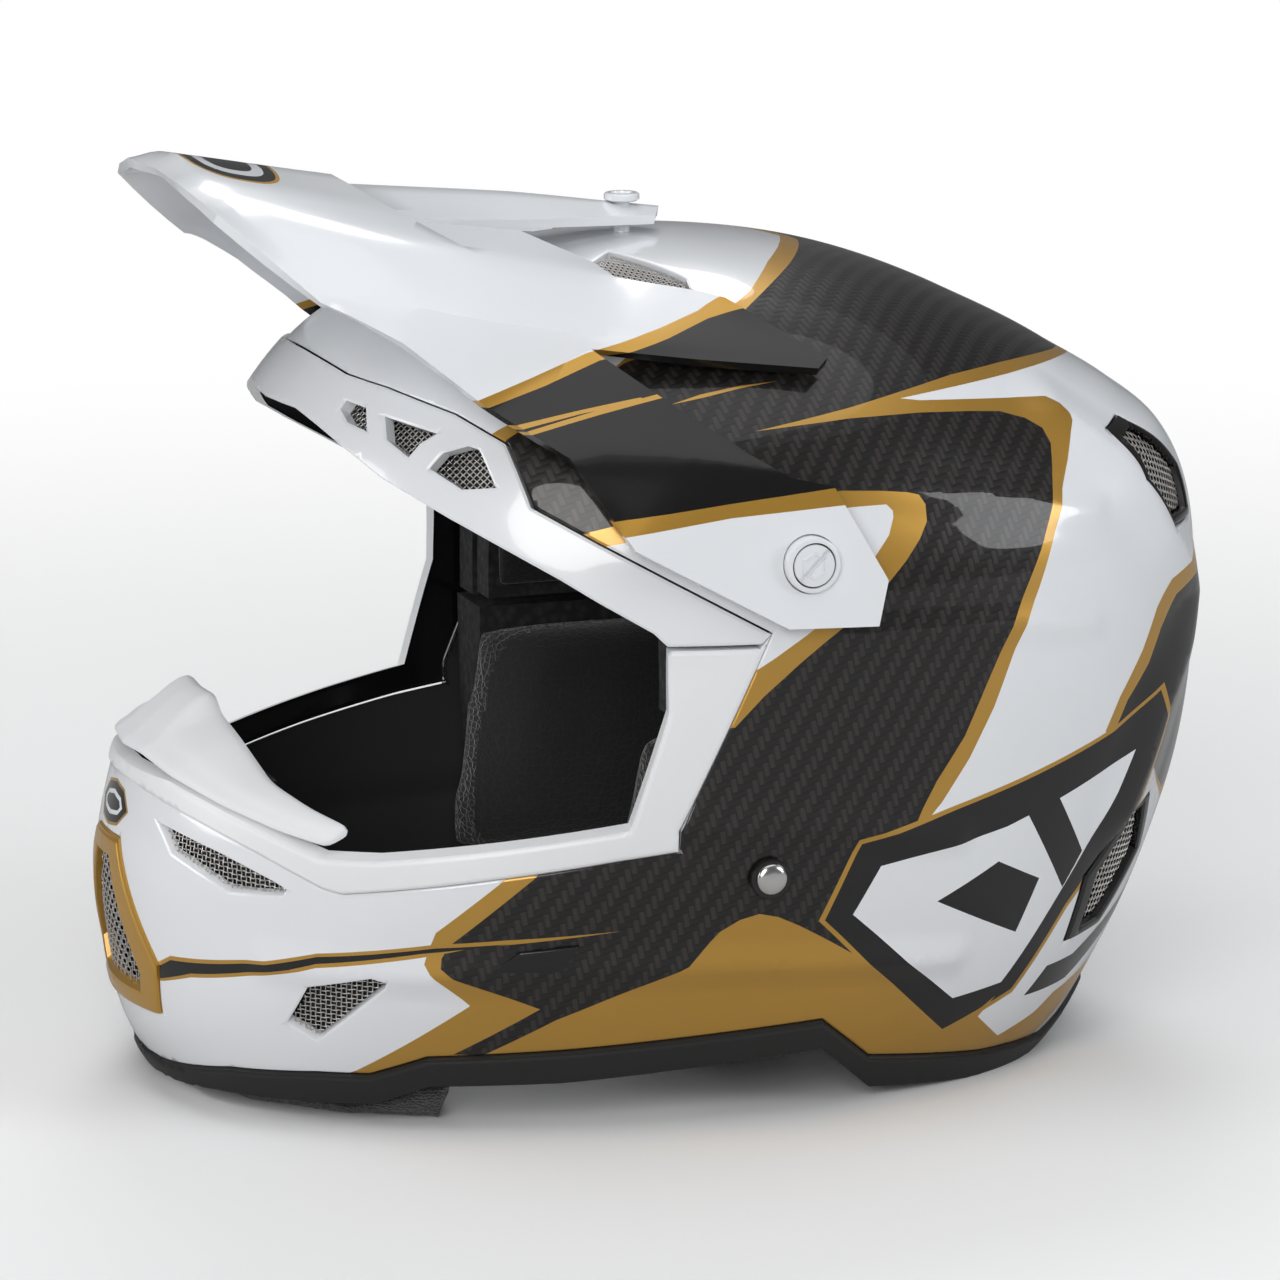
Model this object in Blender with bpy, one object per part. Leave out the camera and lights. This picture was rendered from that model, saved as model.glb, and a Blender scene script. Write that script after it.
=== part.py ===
"""Motocross helmet: painted shell, adjustable visor, vents, floating liner, pads and chin strap.

Metres, +Z up. The rider faces -Y, the rider's left is +X. The origin is on the floor, below the middle of
the helmet's box, and the helmet stands on its chin pad and rear lower edge.
"""
import math

import bmesh
import bpy
import numpy as np
from mathutils import Matrix, Vector

# Driving sizes of the shell, in metres
SHELL_LENGTH = 0.346
SHELL_WIDTH = 0.248
SHELL_HEIGHT = 0.251
SHELL_WALL = 0.0036
GAP = 0.0004            # clearance left between neighbouring pieces
TRIM_PROUD = 0.0012     # how far trims stand out of the painted shell
RUBBER_PROUD = 0.0016
MESH_DEPTH = 0.0012     # how deep a vent's woven mesh lies in its hole
MESH_THICK = 0.0012

# Liners, measured inwards from the shell's outer face
EPS_START = 0.0066
OUTER_EPS = 0.014
LINER_GAP = 0.0055
INNER_EPS = 0.012
COMFORT_THICK = 0.006
DAMPER_RADIUS = 0.012
DAMPER_FREE = 0.0012

# Visor
VISOR_THICK = 0.003
VISOR_RISE = 0.007      # the arm's outer face above the shell
PIVOT = (8.5, 170.5)    # side view, on the drawing
SCREW_RADIUS = 0.0083
SCREW_SHANK = 0.003
SCREW_HEAD = 0.0042
SLOT_WIDTH = 0.0016
CENTRE_SCREW_RADIUS = 0.0055
CENTRE_SHANK = 0.0025
CENTRE_TRAVEL = 0.008   # how far the centre screw slides each way in the shell's slot

# Chin strap
STRAP_WIDTH = 0.024
STRAP_THICK = 0.0022
STRAP_RUN = 0.0285      # height of the strap's lower run above the floor
STRAP_BEND = 0.009
STRAP_TAIL = -0.012     # x of the right strap's free end, mirrored
RIVET = (-0.8, 75.0)    # side view, on the drawing
RIVET_RADIUS = 0.0048
RIVET_RING = 0.0062
RIVET_SHANK = 0.002
RING_WIRE = 0.0016
RING_HOLD = 2 * RING_WIRE + 2 * GAP     # inner radius of the fold that holds the rings
RING_X = 0.034

# Cheek pads
PAD_OUTER = 0.3516 * SHELL_WIDTH        # x of the pad's outer face, inside the neck opening
PAD_THICK = 0.030

# The outlines below are drawn in millimetres, as seen from the side (y, z), for a shell of this size.
DRAWN_LENGTH, DRAWN_WIDTH, DRAWN_HEIGHT = 346.0, 248.0, 251.0
LONG = SHELL_LENGTH / DRAWN_LENGTH
WIDE = SHELL_WIDTH / DRAWN_WIDTH
TALL = SHELL_HEIGHT / DRAWN_HEIGHT
FLOOR_SHIFT = (0.0002, 0.005)   # places the drawn helmet over the origin, y and z

CENTRE = (5.0, 150.0)
PROFILE = [
    (15, 251), (-30, 249), (-70, 240), (-100, 226), (-118, 208), (-138, 170), (-157, 125), (-168, 92),
    (-173, 68), (-172, 42), (-164, 10), (-140, -20), (-90, -42), (-20, -50), (60, -42), (114, -15),
    (140, 20), (157, 55), (167, 85), (172, 115), (173, 145), (169, 175), (160, 192), (146, 203),
    (126, 215), (95, 231), (52, 246),
]
# How square the cross-section is, by direction from the centre in the side view
FULLNESS = [(-157, 1.9), (-90, 2.5), (0, 2.5), (90, 2.3), (180, 2.0)]

FACE_TOP = [(-230, 214), (-117, 214), (-109, 221), (-104, 217.5), (-97, 216), (-83, 211), (-72, 204),
            (-68, 187), (-51, 177), (-2, 149.5)]
BROW_BOTTOM = [(-5, 146.5), (-33, 147), (-37, 151), (-52, 160), (-62, 166.5), (-89, 182.5), (-104, 192),
               (-111, 199), (-117, 206), (-230, 206)]
TRIM_OUTER = [(-2, 149.5), (-29, 91.5), (-29, 85), (-47, 83), (-81, 78), (-108, 73.7), (-122, 71.5),
              (-127, 72.7), (-143, 81.5), (-160, 89.5), (-167, 93), (-230, 93)]
TRIM_INNER = [(-230, 98), (-160, 97), (-143, 89), (-127, 82), (-113, 82.5), (-44, 92.5), (-33, 127),
              (-33, 146), (-5.5, 145.5)]
EYEPORT_LINER = [(-230, 100), (-24, 100), (-24, 150), (-50, 168), (-86, 190), (-100, 202), (-106, 212),
                 (-230, 212)]
BASE_LINE = [(-230, 5.5), (-160, 6), (-147, 10.5), (-126, 13), (-112, 13.5), (-97, 20), (-59, 21.5),
             (21, 26), (39, 11), (80, 5), (107, 3.5), (120, 8), (129, 16), (230, 18)]
TRIM_LINE = [(-230, -1), (-160, -0.5), (-148, 2), (-125, 3), (-109, 3.8), (-95, 10.5), (-58, 11),
             (22, 16.5), (41, 0), (84, -5), (112, -5), (126, 2), (136, 10.5), (230, 12)]
BROW_VENTS = [
    [(-108.5, 208.5), (-106.5, 211), (-103, 210), (-104.5, 204), (-108, 205.5)],
    [(-99.5, 208.5), (-88.5, 205.5), (-93, 202.5), (-96.5, 198.5), (-100.5, 202.5)],
    [(-92, 196), (-88, 200.5), (-81.5, 202.8), (-79, 202), (-76.5, 192), (-85, 191)],
]
UPPER_CHIN_VENT = [(-164, 84), (-162, 76), (-150, 68), (-137, 69), (-136, 71), (-139, 73), (-151, 79)]
LOWER_CHIN_VENT = [(-130.5, 41.5), (-114, 46.5), (-110, 45), (-110.5, 43), (-127, 24), (-135, 29)]
BADGE = [(-83.5, 47.5), (-74, 55.5), (-57, 57), (-62, 47)]
# Seen from above: x, y
CROWN_VENT = [(34, -29), (25, -19), (54, -4), (61, -5), (61, -9), (50, -24)]
# Seen from behind: x, z
REAR_UPPER_VENT = [(82, 196), (70, 198), (62, 180), (66, 164), (84, 164), (89, 181)]
REAR_FRAME = 0.003      # width of the rear vents' rims
REAR_LOWER_VENT = [(90, 79), (81, 82), (72, 62), (79, 40), (91, 38), (96, 60)]
# Seen from the front: x, z
GRILLE = [(-7, 69), (7, 69), (23, 36), (21, 29), (-21, 29), (-23, 36)]
GRILLE_SURROUND = [(-12, 75), (12, 75), (32, 40), (29, 24), (-29, 24), (-32, 40)]

# Visor, rider's left half: x, y, z of the outer face
VISOR_POINTS = {
    "lip_mid": (0, -153, 277), "lip_side": (30, -154, 276.5), "lip_corner": (58, -149.7, 271),
    "brow_mid": (0, -147, 281.5), "brow_side": (30, -145, 278.5), "brow_crease": (48, -142, 272),
    "top_mid": (0, -118, 276.5), "top_side": (34, -115, 272), "top_crease": (58, -109.5, 264.5),
    "step_mid": (0, -99, 273.5), "step_side": (34, -88, 266), "step_crease": (64, -70.5, 255.5),
    "edge_1": (80, -125, 247), "edge_2": (84, -117.5, 243.5), "edge_3": (92, -104, 236),
    "edge_4": (97, -82, 218), "edge_5": (112, -60, 203), "edge_6": (122, -49.5, 185),
    "edge_7": (125.5, -44.3, 177), "foot_front": (131, 1, 152), "foot_rear": (131, 29, 151),
    "foot_high": (130.5, 32, 164.5), "arm_rear": (126, 16.5, 192.5), "arm_4": (125, 3.5, 195.7),
    "arm_3": (120, -7.5, 202.5), "arm_2": (109.5, -27, 216), "arm_1": (100, -37.5, 224),
    "arm_0": (91, -46.5, 231), "groove": (122.5, -23.5, 199),
    "crease_1": (80, -122, 249.5), "crease_2": (86, -102.5, 246.3), "crease_3": (90, -80, 241.3),
    "crease_4": (90, -40, 233.3), "crease_5": (92, -22, 232.5),
    "lobe_1": (98.5, -15, 227.3), "lobe_2": (103, 20, 223.5), "lobe_tip": (100, 24, 226),
    "lobe_top_3": (79, -0.5, 242), "lobe_top_2": (74, -6.5, 243.5), "lobe_top_1": (61, -29, 247),
    "lobe_top_0": (50, -32, 250), "slot_end": (36, -50.5, 258.5),
    "wing_mid": (0, -42, 265.5), "wing_tail": (0, 6, 258.5), "wing_side": (22, -44, 259.5),
    "wing_tail_side": (9, 2, 257),
}
VISOR_FACES = [
    ("lip_mid", "lip_side", "brow_side", "brow_mid"),
    ("lip_side", "lip_corner", "brow_crease", "brow_side"),
    ("brow_mid", "brow_side", "top_side", "top_mid"),
    ("brow_side", "brow_crease", "top_crease", "top_side"),
    ("top_mid", "top_side", "step_side", "step_mid"),
    ("top_side", "top_crease", "step_crease", "step_side"),
    ("lip_corner", "edge_1", "crease_1", "brow_crease"),
    ("brow_crease", "crease_1", "crease_2", "top_crease"),
    ("top_crease", "crease_2", "crease_3", "step_crease"),
    ("edge_1", "edge_2", "crease_1"),
    ("crease_1", "edge_2", "edge_3", "crease_2"),
    ("crease_2", "edge_3", "edge_4", "crease_3"),
    ("crease_3", "edge_4", "arm_0", "crease_4"),
    ("edge_4", "edge_5", "arm_1", "arm_0"),
    ("edge_5", "groove", "arm_2", "arm_1"),
    ("groove", "arm_4", "arm_3", "arm_2"),
    ("edge_5", "edge_6", "edge_7", "groove"),
    ("edge_7", "foot_front", "arm_4", "groove"),
    ("foot_front", "foot_rear", "foot_high", "arm_rear", "arm_4"),
    ("crease_4", "arm_0", "lobe_1", "crease_5"),
    ("crease_5", "lobe_1", "lobe_2", "lobe_tip"),
    ("crease_5", "lobe_tip", "lobe_top_3", "lobe_top_2"),
    ("crease_4", "crease_5", "lobe_top_2", "lobe_top_1"),
    ("crease_3", "crease_4", "lobe_top_1", "step_crease"),
    ("step_crease", "lobe_top_1", "lobe_top_0", "slot_end"),
    ("step_side", "step_crease", "slot_end"),
    ("step_mid", "step_side", "wing_side", "wing_mid"),
    ("wing_mid", "wing_side", "wing_tail_side", "wing_tail"),
]
GUARD_ROWS = [   # x, then front and back edge as y, z
    (0, -163, 101, -137, 111), (16, -161, 101, -136, 111), (34, -157, 98, -134, 106),
    (54, -146, 92.5, -130, 96), (70, -133, 87.5, -122, 90.5), (82, -121, 84.5, -113.5, 86.5),
]

WHITE = (0.86, 0.87, 0.89)
GOLD = (0.62, 0.36, 0.06)
BLACK = (0.012, 0.012, 0.013)
FOAM = (0.035, 0.035, 0.038)
CLOTH = (0.02, 0.02, 0.022)
STEEL = (0.62, 0.61, 0.58)


def clear_scene():
    for old in list(bpy.data.objects):
        bpy.data.objects.remove(old, do_unlink=True)


def material(name, colour, roughness, metallic=0.0):
    made = bpy.data.materials.get(name) or bpy.data.materials.new(name)
    made.use_nodes = True
    shader = made.node_tree.nodes["Principled BSDF"]
    shader.inputs["Base Color"].default_value = (*colour, 1.0)
    shader.inputs["Roughness"].default_value = roughness
    shader.inputs["Metallic"].default_value = metallic
    return made


def side_point(y, z):
    """A drawn side-view point in metres."""
    return y * LONG + FLOOR_SHIFT[0], z * TALL + FLOOR_SHIFT[1]


def space_point(x, y, z):
    return (x * WIDE, *side_point(y, z))


def add_object(name, points, faces, look=None, cutter=False):
    mesh = bpy.data.meshes.new(name)
    mesh.from_pydata([tuple(float(v) for v in p) for p in points], [], faces)
    mesh.update()
    made = bpy.data.objects.new(name, mesh)
    bpy.context.scene.collection.objects.link(made)
    if cutter:
        made.hide_render = True
        made.display_type = "WIRE"
    else:
        mesh.materials.append(material(*look))
    return made


def ring_curve(angle, knots):
    """A smooth closed curve through (angle in radians, value) knots."""
    where = np.array([k[0] for k in knots])
    value = np.array([k[1] for k in knots])
    turn = 2 * math.pi
    before = np.concatenate([[where[-1] - turn], where[:-1]])
    after = np.concatenate([where[1:], [where[0] + turn]])
    slope = (np.roll(value, -1) - np.roll(value, 1)) / (after - before)
    angle = np.mod(np.asarray(angle, float) - where[0], turn) + where[0]
    i = np.searchsorted(where, angle, side="right") - 1
    j = (i + 1) % len(where)
    span = after[i] - where[i]
    t = (angle - where[i]) / span
    return (value[i] * (1 + 2 * t) * (1 - t) ** 2 + value[j] * t * t * (3 - 2 * t)
            + span * (slope[i] * t * (1 - t) ** 2 + slope[j] * t * t * (t - 1)))


CY, CZ = side_point(*CENTRE)
PROFILE_KNOTS = sorted(
    (math.atan2(z - CZ, y - CY), math.hypot(y - CY, z - CZ)) for y, z in (side_point(*p) for p in PROFILE)
)
FULLNESS_KNOTS = [(math.radians(a), n) for a, n in FULLNESS]


def reach(angle):
    return ring_curve(angle, PROFILE_KNOTS)


def fullness(angle):
    return ring_curve(angle, FULLNESS_KNOTS)


def half_width(y, z, offset=0.0):
    """Half the width of the shell's face, moved out by offset, at a side-view point in metres."""
    angle = math.atan2(z - CZ, y - CY)
    n = float(fullness(angle))
    share = min(1.0, math.hypot(y - CY, z - CZ) / (float(reach(angle)) + offset))
    return (SHELL_WIDTH / 2 + offset) * (1 - share**n) ** (1 / n)


def pillow(name, offset, around, across, look=None):
    """The shell's closed face, moved out by offset: a grid with a pole at each side."""
    wide = SHELL_WIDTH / 2 + offset
    points = [(wide, CY, CZ)]
    for k in range(1, across):
        turn = math.pi * k / across
        for i in range(around):
            angle = 2 * math.pi * i / around
            n = float(fullness(angle))
            flat = (float(reach(angle)) + offset) * math.sin(turn) ** (2 / n)
            out = wide * math.copysign(abs(math.cos(turn)) ** (2 / n), math.cos(turn))
            points.append((out, CY + flat * math.cos(angle), CZ + flat * math.sin(angle)))
    points.append((-wide, CY, CZ))
    last = len(points) - 1
    faces = []
    for i in range(around):
        j = (i + 1) % around
        faces.append((0, 1 + i, 1 + j))
        for k in range(across - 2):
            a, b = 1 + k * around, 1 + (k + 1) * around
            faces.append((a + i, b + i, b + j, a + j))
        a = 1 + (across - 2) * around
        faces.append((last, a + j, a + i))
    return add_object(name, points, faces, look, cutter=look is None)


def prism(name, outline, low, high, axis="x"):
    """A cutter: a closed outline in metres, run from low to high along an axis."""
    order = {"x": lambda u, v, w: (w, u, v), "y": lambda u, v, w: (u, w, v), "z": lambda u, v, w: (u, v, w)}
    place = order[axis]
    count = len(outline)
    points = [place(u, v, low) for u, v in outline] + [place(u, v, high) for u, v in outline]
    faces = [tuple(range(count)), tuple(range(2 * count - 1, count - 1, -1))]
    faces += [(i, i + count, (i + 1) % count + count, (i + 1) % count) for i in range(count)]
    made = add_object(name, points, faces, cutter=True)
    work = bmesh.new()
    work.from_mesh(made.data)
    bmesh.ops.recalc_face_normals(work, faces=work.faces)
    work.to_mesh(made.data)
    work.free()
    return made


def grow(outline, amount):
    """The outline moved outwards by amount, with mitred corners."""
    turned = sum(a[0] * b[1] - b[0] * a[1] for a, b in zip(outline, outline[1:] + outline[:1]))
    sign = 1 if turned > 0 else -1
    grown = []
    for before, here, after in zip(outline[-1:] + outline[:-1], outline, outline[1:] + outline[:1]):
        into = Vector((here[0] - before[0], here[1] - before[1])).normalized()
        away = Vector((after[0] - here[0], after[1] - here[1])).normalized()
        normal = Vector((into.y + away.y, -into.x - away.x)) * sign
        scale = amount * 2 / max(normal.length_squared, 0.35)
        grown.append((here[0] + normal.x * scale, here[1] + normal.y * scale))
    return grown


def side_outline(points, amount=0.0):
    return grow([side_point(*p) for p in points], amount)


def plan_outline(points, amount=0.0):
    return grow([(x * WIDE, side_point(y, 0)[0]) for x, y in points], amount)


def front_outline(points, amount=0.0):
    return grow([(x * WIDE, side_point(0, z)[1]) for x, z in points], amount)


def disc(name, centre, radius, low, high, sides=24, axis="x"):
    outline = [(centre[0] + radius * math.cos(2 * math.pi * i / sides),
                centre[1] + radius * math.sin(2 * math.pi * i / sides)) for i in range(sides)]
    return prism(name, outline, low, high, axis)


def boolean(piece, tool, operation="DIFFERENCE"):
    modifier = piece.modifiers.new(f"{operation.lower()} {tool.name}", "BOOLEAN")
    modifier.operation = operation
    modifier.object = tool
    return piece


def layer(name, outer, inner, keep, look, cuts=(), around=56, across=26, inner_cut=None):
    """The part of the shell between two offsets that lies inside the keep solid, less the cuts."""
    piece = pillow(name, outer, around, across, look)
    boolean(piece, keep, "INTERSECT")
    boolean(piece, inner_cut or pillow(f"{name}.hollow", inner, around, across))
    for tool in cuts:
        boolean(piece, tool)
    return piece


def mirrored(points):
    return [(-u, v) for u, v in points][::-1]


def sides():
    return (("left", 1), ("right", -1))


def span(side, low, high):
    """Low and high x of a cutter on one side."""
    return (low, high) if side > 0 else (-high, -low)


WHITE_PAINT = ("white_gloss", WHITE, 0.18)
GOLD_PAINT = ("gold_satin", GOLD, 0.3, 0.75)
GLOSS_BLACK = ("black_gloss", BLACK, 0.15)
RUBBER = ("rubber", BLACK, 0.55)
WIRE = ("wire_mesh", STEEL, 0.3, 0.9)
EPS = ("eps_foam", FOAM, 0.9)
FABRIC = ("fabric", CLOTH, 0.95)
METAL = ("steel", STEEL, 0.25, 1.0)
REACH = 0.3             # longer than any cutter has to be


def face_opening(amount):
    outline = FACE_TOP + TRIM_OUTER[1:]
    return side_outline(outline, amount)


def base_cutter(name, line, lift):
    outline = [side_point(y, z) for y, z in line]
    outline = [(y, z + lift) for y, z in outline]
    return prism(name, outline + [(REACH, -REACH), (-REACH, -REACH)], -REACH, REACH)


def vent_tools(prefix):
    """Cutters through the shell for its vents."""
    tools = []
    for side_name, side in sides():
        low, high = span(side, 0.012, REACH)
        for kind, outline in (("upper_chin", UPPER_CHIN_VENT), ("lower_chin", LOWER_CHIN_VENT)):
            tools.append(prism(f"{prefix}.{kind}.{side_name}", side_outline(outline), low, high))
        for kind, outline, direction, where in (
            ("crown", CROWN_VENT, "z", (0.2, REACH)),
            ("rear_upper", REAR_UPPER_VENT, "y", (0.06, REACH)),
            ("rear_lower", REAR_LOWER_VENT, "y", (0.06, REACH)),
        ):
            shape = outline if side > 0 else mirrored(outline)
            made = plan_outline(shape) if direction == "z" else front_outline(shape)
            tools.append(prism(f"{prefix}.{kind}.{side_name}", made, *where, direction))
    return tools


def whole_tool(name, outline):
    return prism(name, outline, -REACH, REACH)


CENTRE_SCREW = (0.0, side_point(-6, 0)[0])


def make_shell():
    shell = pillow("outer_shell", 0.0, 54, 24, WHITE_PAINT)
    boolean(shell, pillow("outer_shell.hollow", -SHELL_WALL, 40, 18))
    boolean(shell, whole_tool("outer_shell.face", face_opening(GAP)))
    boolean(shell, base_cutter("outer_shell.base", BASE_LINE, 0.0))
    for tool in vent_tools("outer_shell"):
        boolean(shell, tool)
    surround = prism("outer_shell.grille", front_outline(GRILLE_SURROUND, GAP), -REACH, -0.1, "y")
    boolean(shell, surround)
    screw_y, screw_z = side_point(*PIVOT)
    rivet_y, rivet_z = side_point(*RIVET)
    for side_name, side in sides():
        low, high = span(side, 0.06, REACH)
        boolean(shell, disc(f"outer_shell.screw.{side_name}", (screw_y, screw_z),
                            SCREW_SHANK + GAP, low, high, 16))
        boolean(shell, disc(f"outer_shell.rivet.{side_name}", (rivet_y, rivet_z),
                            RIVET_SHANK + GAP, low, high, 12))
    wide, long = CENTRE_SHANK + GAP, CENTRE_SHANK + CENTRE_TRAVEL
    x, y = CENTRE_SCREW
    slot = [(x - wide, y - long), (x + wide, y - long), (x + wide, y + long), (x - wide, y + long)]
    boolean(shell, prism("outer_shell.centre_slot", slot, 0.2, REACH, "z"))
    return shell


def make_brow_band():
    keep = whole_tool("brow_band.region", side_outline(FACE_TOP + BROW_BOTTOM, -GAP / 2))
    vents = []
    for number, vent in enumerate(BROW_VENTS, 1):
        vents.append(whole_tool(f"brow_band.vent_{number}", side_outline(vent)))
    return layer("brow_band", TRIM_PROUD, -SHELL_WALL, keep, WHITE_PAINT, vents)


def make_brow_mesh():
    """Woven mesh behind the three vents of each side."""
    outline = [(-111, 206), (-109, 213), (-78, 205.5), (-74, 190), (-92, 188.5)]
    for side_name, side in sides():
        low, high = span(side, 0.03, REACH)
        keep = prism(f"brow_mesh_{side_name}.region", side_outline(outline, -GAP), low, high)
        start = -SHELL_WALL - 2 * GAP
        layer(f"brow_mesh_{side_name}", start, start - MESH_THICK, keep, WIRE, (), 48, 22)


def make_eyeport_trim():
    keep = whole_tool("eyeport_trim.region", side_outline(TRIM_OUTER + TRIM_INNER, -GAP / 2))
    layer("eyeport_trim", TRIM_PROUD, -SHELL_WALL - 0.001, keep, WHITE_PAINT)


def make_nose_guard():
    """A soft cap over the middle of the chin bar's upper edge."""
    thick = 0.003
    rows = [(-r[0], *r[1:]) for r in GUARD_ROWS[:0:-1]] + GUARD_ROWS
    points = []
    for x, front_y, front_z, back_y, back_z in rows:
        fy, fz = side_point(front_y, front_z)
        by, bz = side_point(back_y, back_z)
        lift = thick + 2 * GAP
        wide = x * WIDE
        for y, z, up in ((fy, fz, lift), (by, bz, lift), (by, bz, lift - thick), (fy, fz, lift - thick)):
            points.append((wide, y - 0.004, z + up))
    faces = [(0, 1, 2, 3), tuple(len(points) - 4 + k for k in (3, 2, 1, 0))]
    for r in range(len(rows) - 1):
        a, b = 4 * r, 4 * (r + 1)
        for k in range(4):
            m = (k + 1) % 4
            faces.append((a + k, b + k, b + m, a + m))
    guard = add_object("nose_guard", points, faces, ("guard_rubber", WHITE, 0.45))
    recalculate(guard)


def recalculate(made):
    work = bmesh.new()
    work.from_mesh(made.data)
    bmesh.ops.recalc_face_normals(work, faces=work.faces)
    work.to_mesh(made.data)
    work.free()


def make_grille():
    opening = prism("grille_surround.opening", front_outline(GRILLE), -REACH, -0.1, "y")
    keep = prism("grille_surround.region", front_outline(GRILLE_SURROUND), -REACH, -0.1, "y")
    layer("grille_surround", TRIM_PROUD, -SHELL_WALL, keep, GOLD_PAINT, [opening])
    inside = prism("grille_mesh.region", front_outline(GRILLE, -GAP), -REACH, -0.1, "y")
    layer("grille_mesh", -MESH_DEPTH, -MESH_DEPTH - MESH_THICK, inside, WIRE, (), 48, 22)


def make_vent_meshes():
    for side_name, side in sides():
        low, high = span(side, 0.012, REACH)
        for kind, outline in (("upper_chin", UPPER_CHIN_VENT), ("lower_chin", LOWER_CHIN_VENT)):
            name = f"{kind}_vent_mesh_{side_name}"
            keep = prism(f"{name}.region", side_outline(outline, -GAP), low, high)
            layer(name, -MESH_DEPTH, -MESH_DEPTH - MESH_THICK, keep, WIRE, (), 48, 22)
        name = f"crown_vent_mesh_{side_name}"
        shape = CROWN_VENT if side > 0 else mirrored(CROWN_VENT)
        keep = prism(f"{name}.region", plan_outline(shape, -GAP), 0.2, REACH, "z")
        layer(name, -MESH_DEPTH, -MESH_DEPTH - MESH_THICK, keep, WIRE, (), 48, 22)
        for kind, outline in (("rear_upper", REAR_UPPER_VENT), ("rear_lower", REAR_LOWER_VENT)):
            shape = outline if side > 0 else mirrored(outline)
            name = f"{kind}_vent_frame_{side_name}"
            keep = prism(f"{name}.region", front_outline(shape, -GAP), 0.06, REACH, "y")
            hole = prism(f"{name}.hole", front_outline(shape, -GAP - REAR_FRAME), 0.05, REACH, "y")
            layer(name, TRIM_PROUD / 2, -SHELL_WALL, keep, GLOSS_BLACK, [hole], 48, 22)
            name = f"{kind}_vent_mesh_{side_name}"
            keep = prism(f"{name}.region", front_outline(shape, -2 * GAP - REAR_FRAME), 0.06, REACH, "y")
            layer(name, -MESH_DEPTH, -MESH_DEPTH - MESH_THICK, keep, WIRE, (), 48, 22)


def make_badges():
    for side_name, side in sides():
        low, high = span(side, 0.05, REACH)
        keep = prism(f"side_badge_{side_name}.region", side_outline(BADGE), low, high)
        layer(f"side_badge_{side_name}", 0.0013, GAP, keep, GLOSS_BLACK, (), 60, 28)


def make_base_trim():
    region = [side_point(*p) for p in BASE_LINE]
    lower = [side_point(*p) for p in TRIM_LINE]
    keep = whole_tool("base_trim.region", [(y, z - GAP) for y, z in region] + lower[::-1])
    layer("base_trim", RUBBER_PROUD, -SHELL_WALL - 0.002, keep, RUBBER, (), 48, 22)


def make_chin_pad():
    upper = [(y, z - 0.5) for y, z in TRIM_LINE if y <= -95]
    outline = [side_point(*p) for p in [(-230, -5), (-86, -5), (-84, 9.5), *upper[::-1]]]
    keep = whole_tool("chin_pad.region", outline)
    layer("chin_pad", -0.003, -0.026, keep, FABRIC, (), 40, 20)


def liner_region(name, low_z, amount):
    """Everything above a drawn height, behind the face opening."""
    floor = side_point(0, low_z)[1]
    return prism(name, [(-REACH, floor), (REACH, floor), (REACH, REACH + 0.1), (-REACH, REACH + 0.1)],
                 -REACH, REACH), whole_tool(f"{name}.face", side_outline(EYEPORT_LINER, amount))


def make_liners():
    start = EPS_START
    for name, thick, low, look, grid in (
        ("outer_liner", OUTER_EPS, 118, EPS, (36, 16)),
        ("inner_liner", INNER_EPS, 120, EPS, (36, 16)),
        ("comfort_liner", COMFORT_THICK, 124, FABRIC, (36, 16)),
    ):
        keep, face = liner_region(f"{name}.region", low, 0.001)
        layer(name, -start, -start - thick, keep, look, [face], *grid)
        start += thick + (LINER_GAP if name == "outer_liner" else 0.0009)


def make_dampers():
    """Elastomer pucks on the outer liner that let the inner one float."""
    start = -EPS_START - OUTER_EPS - GAP
    end = -EPS_START - OUTER_EPS - LINER_GAP + DAMPER_FREE
    look = ("damper", (0.55, 0.09, 0.03), 0.5)
    centre = (CY + 0.003, CZ + 0.017)
    for side_name, side in sides():
        low, high = span(side, 0.05, REACH)
        keep = disc(f"damper_{side_name}.region", centre, DAMPER_RADIUS, low, high)
        layer(f"damper_{side_name}", start, end, keep, look, (), 36, 16)
    keep = disc("damper_crown.region", (0.0, CY), DAMPER_RADIUS, 0.2, REACH, 24, "z")
    layer("damper_crown", start, end, keep, look, (), 36, 16)
    keep = disc("damper_rear.region", (0.0, CZ + 0.02), DAMPER_RADIUS, 0.05, REACH, 24, "y")
    layer("damper_rear", start, end, keep, look, (), 36, 16)


def box_tool(name, low, high):
    outline = [(low[1], low[2]), (high[1], low[2]), (high[1], high[2]), (low[1], high[2])]
    return prism(name, outline, low[0], high[0])


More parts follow.
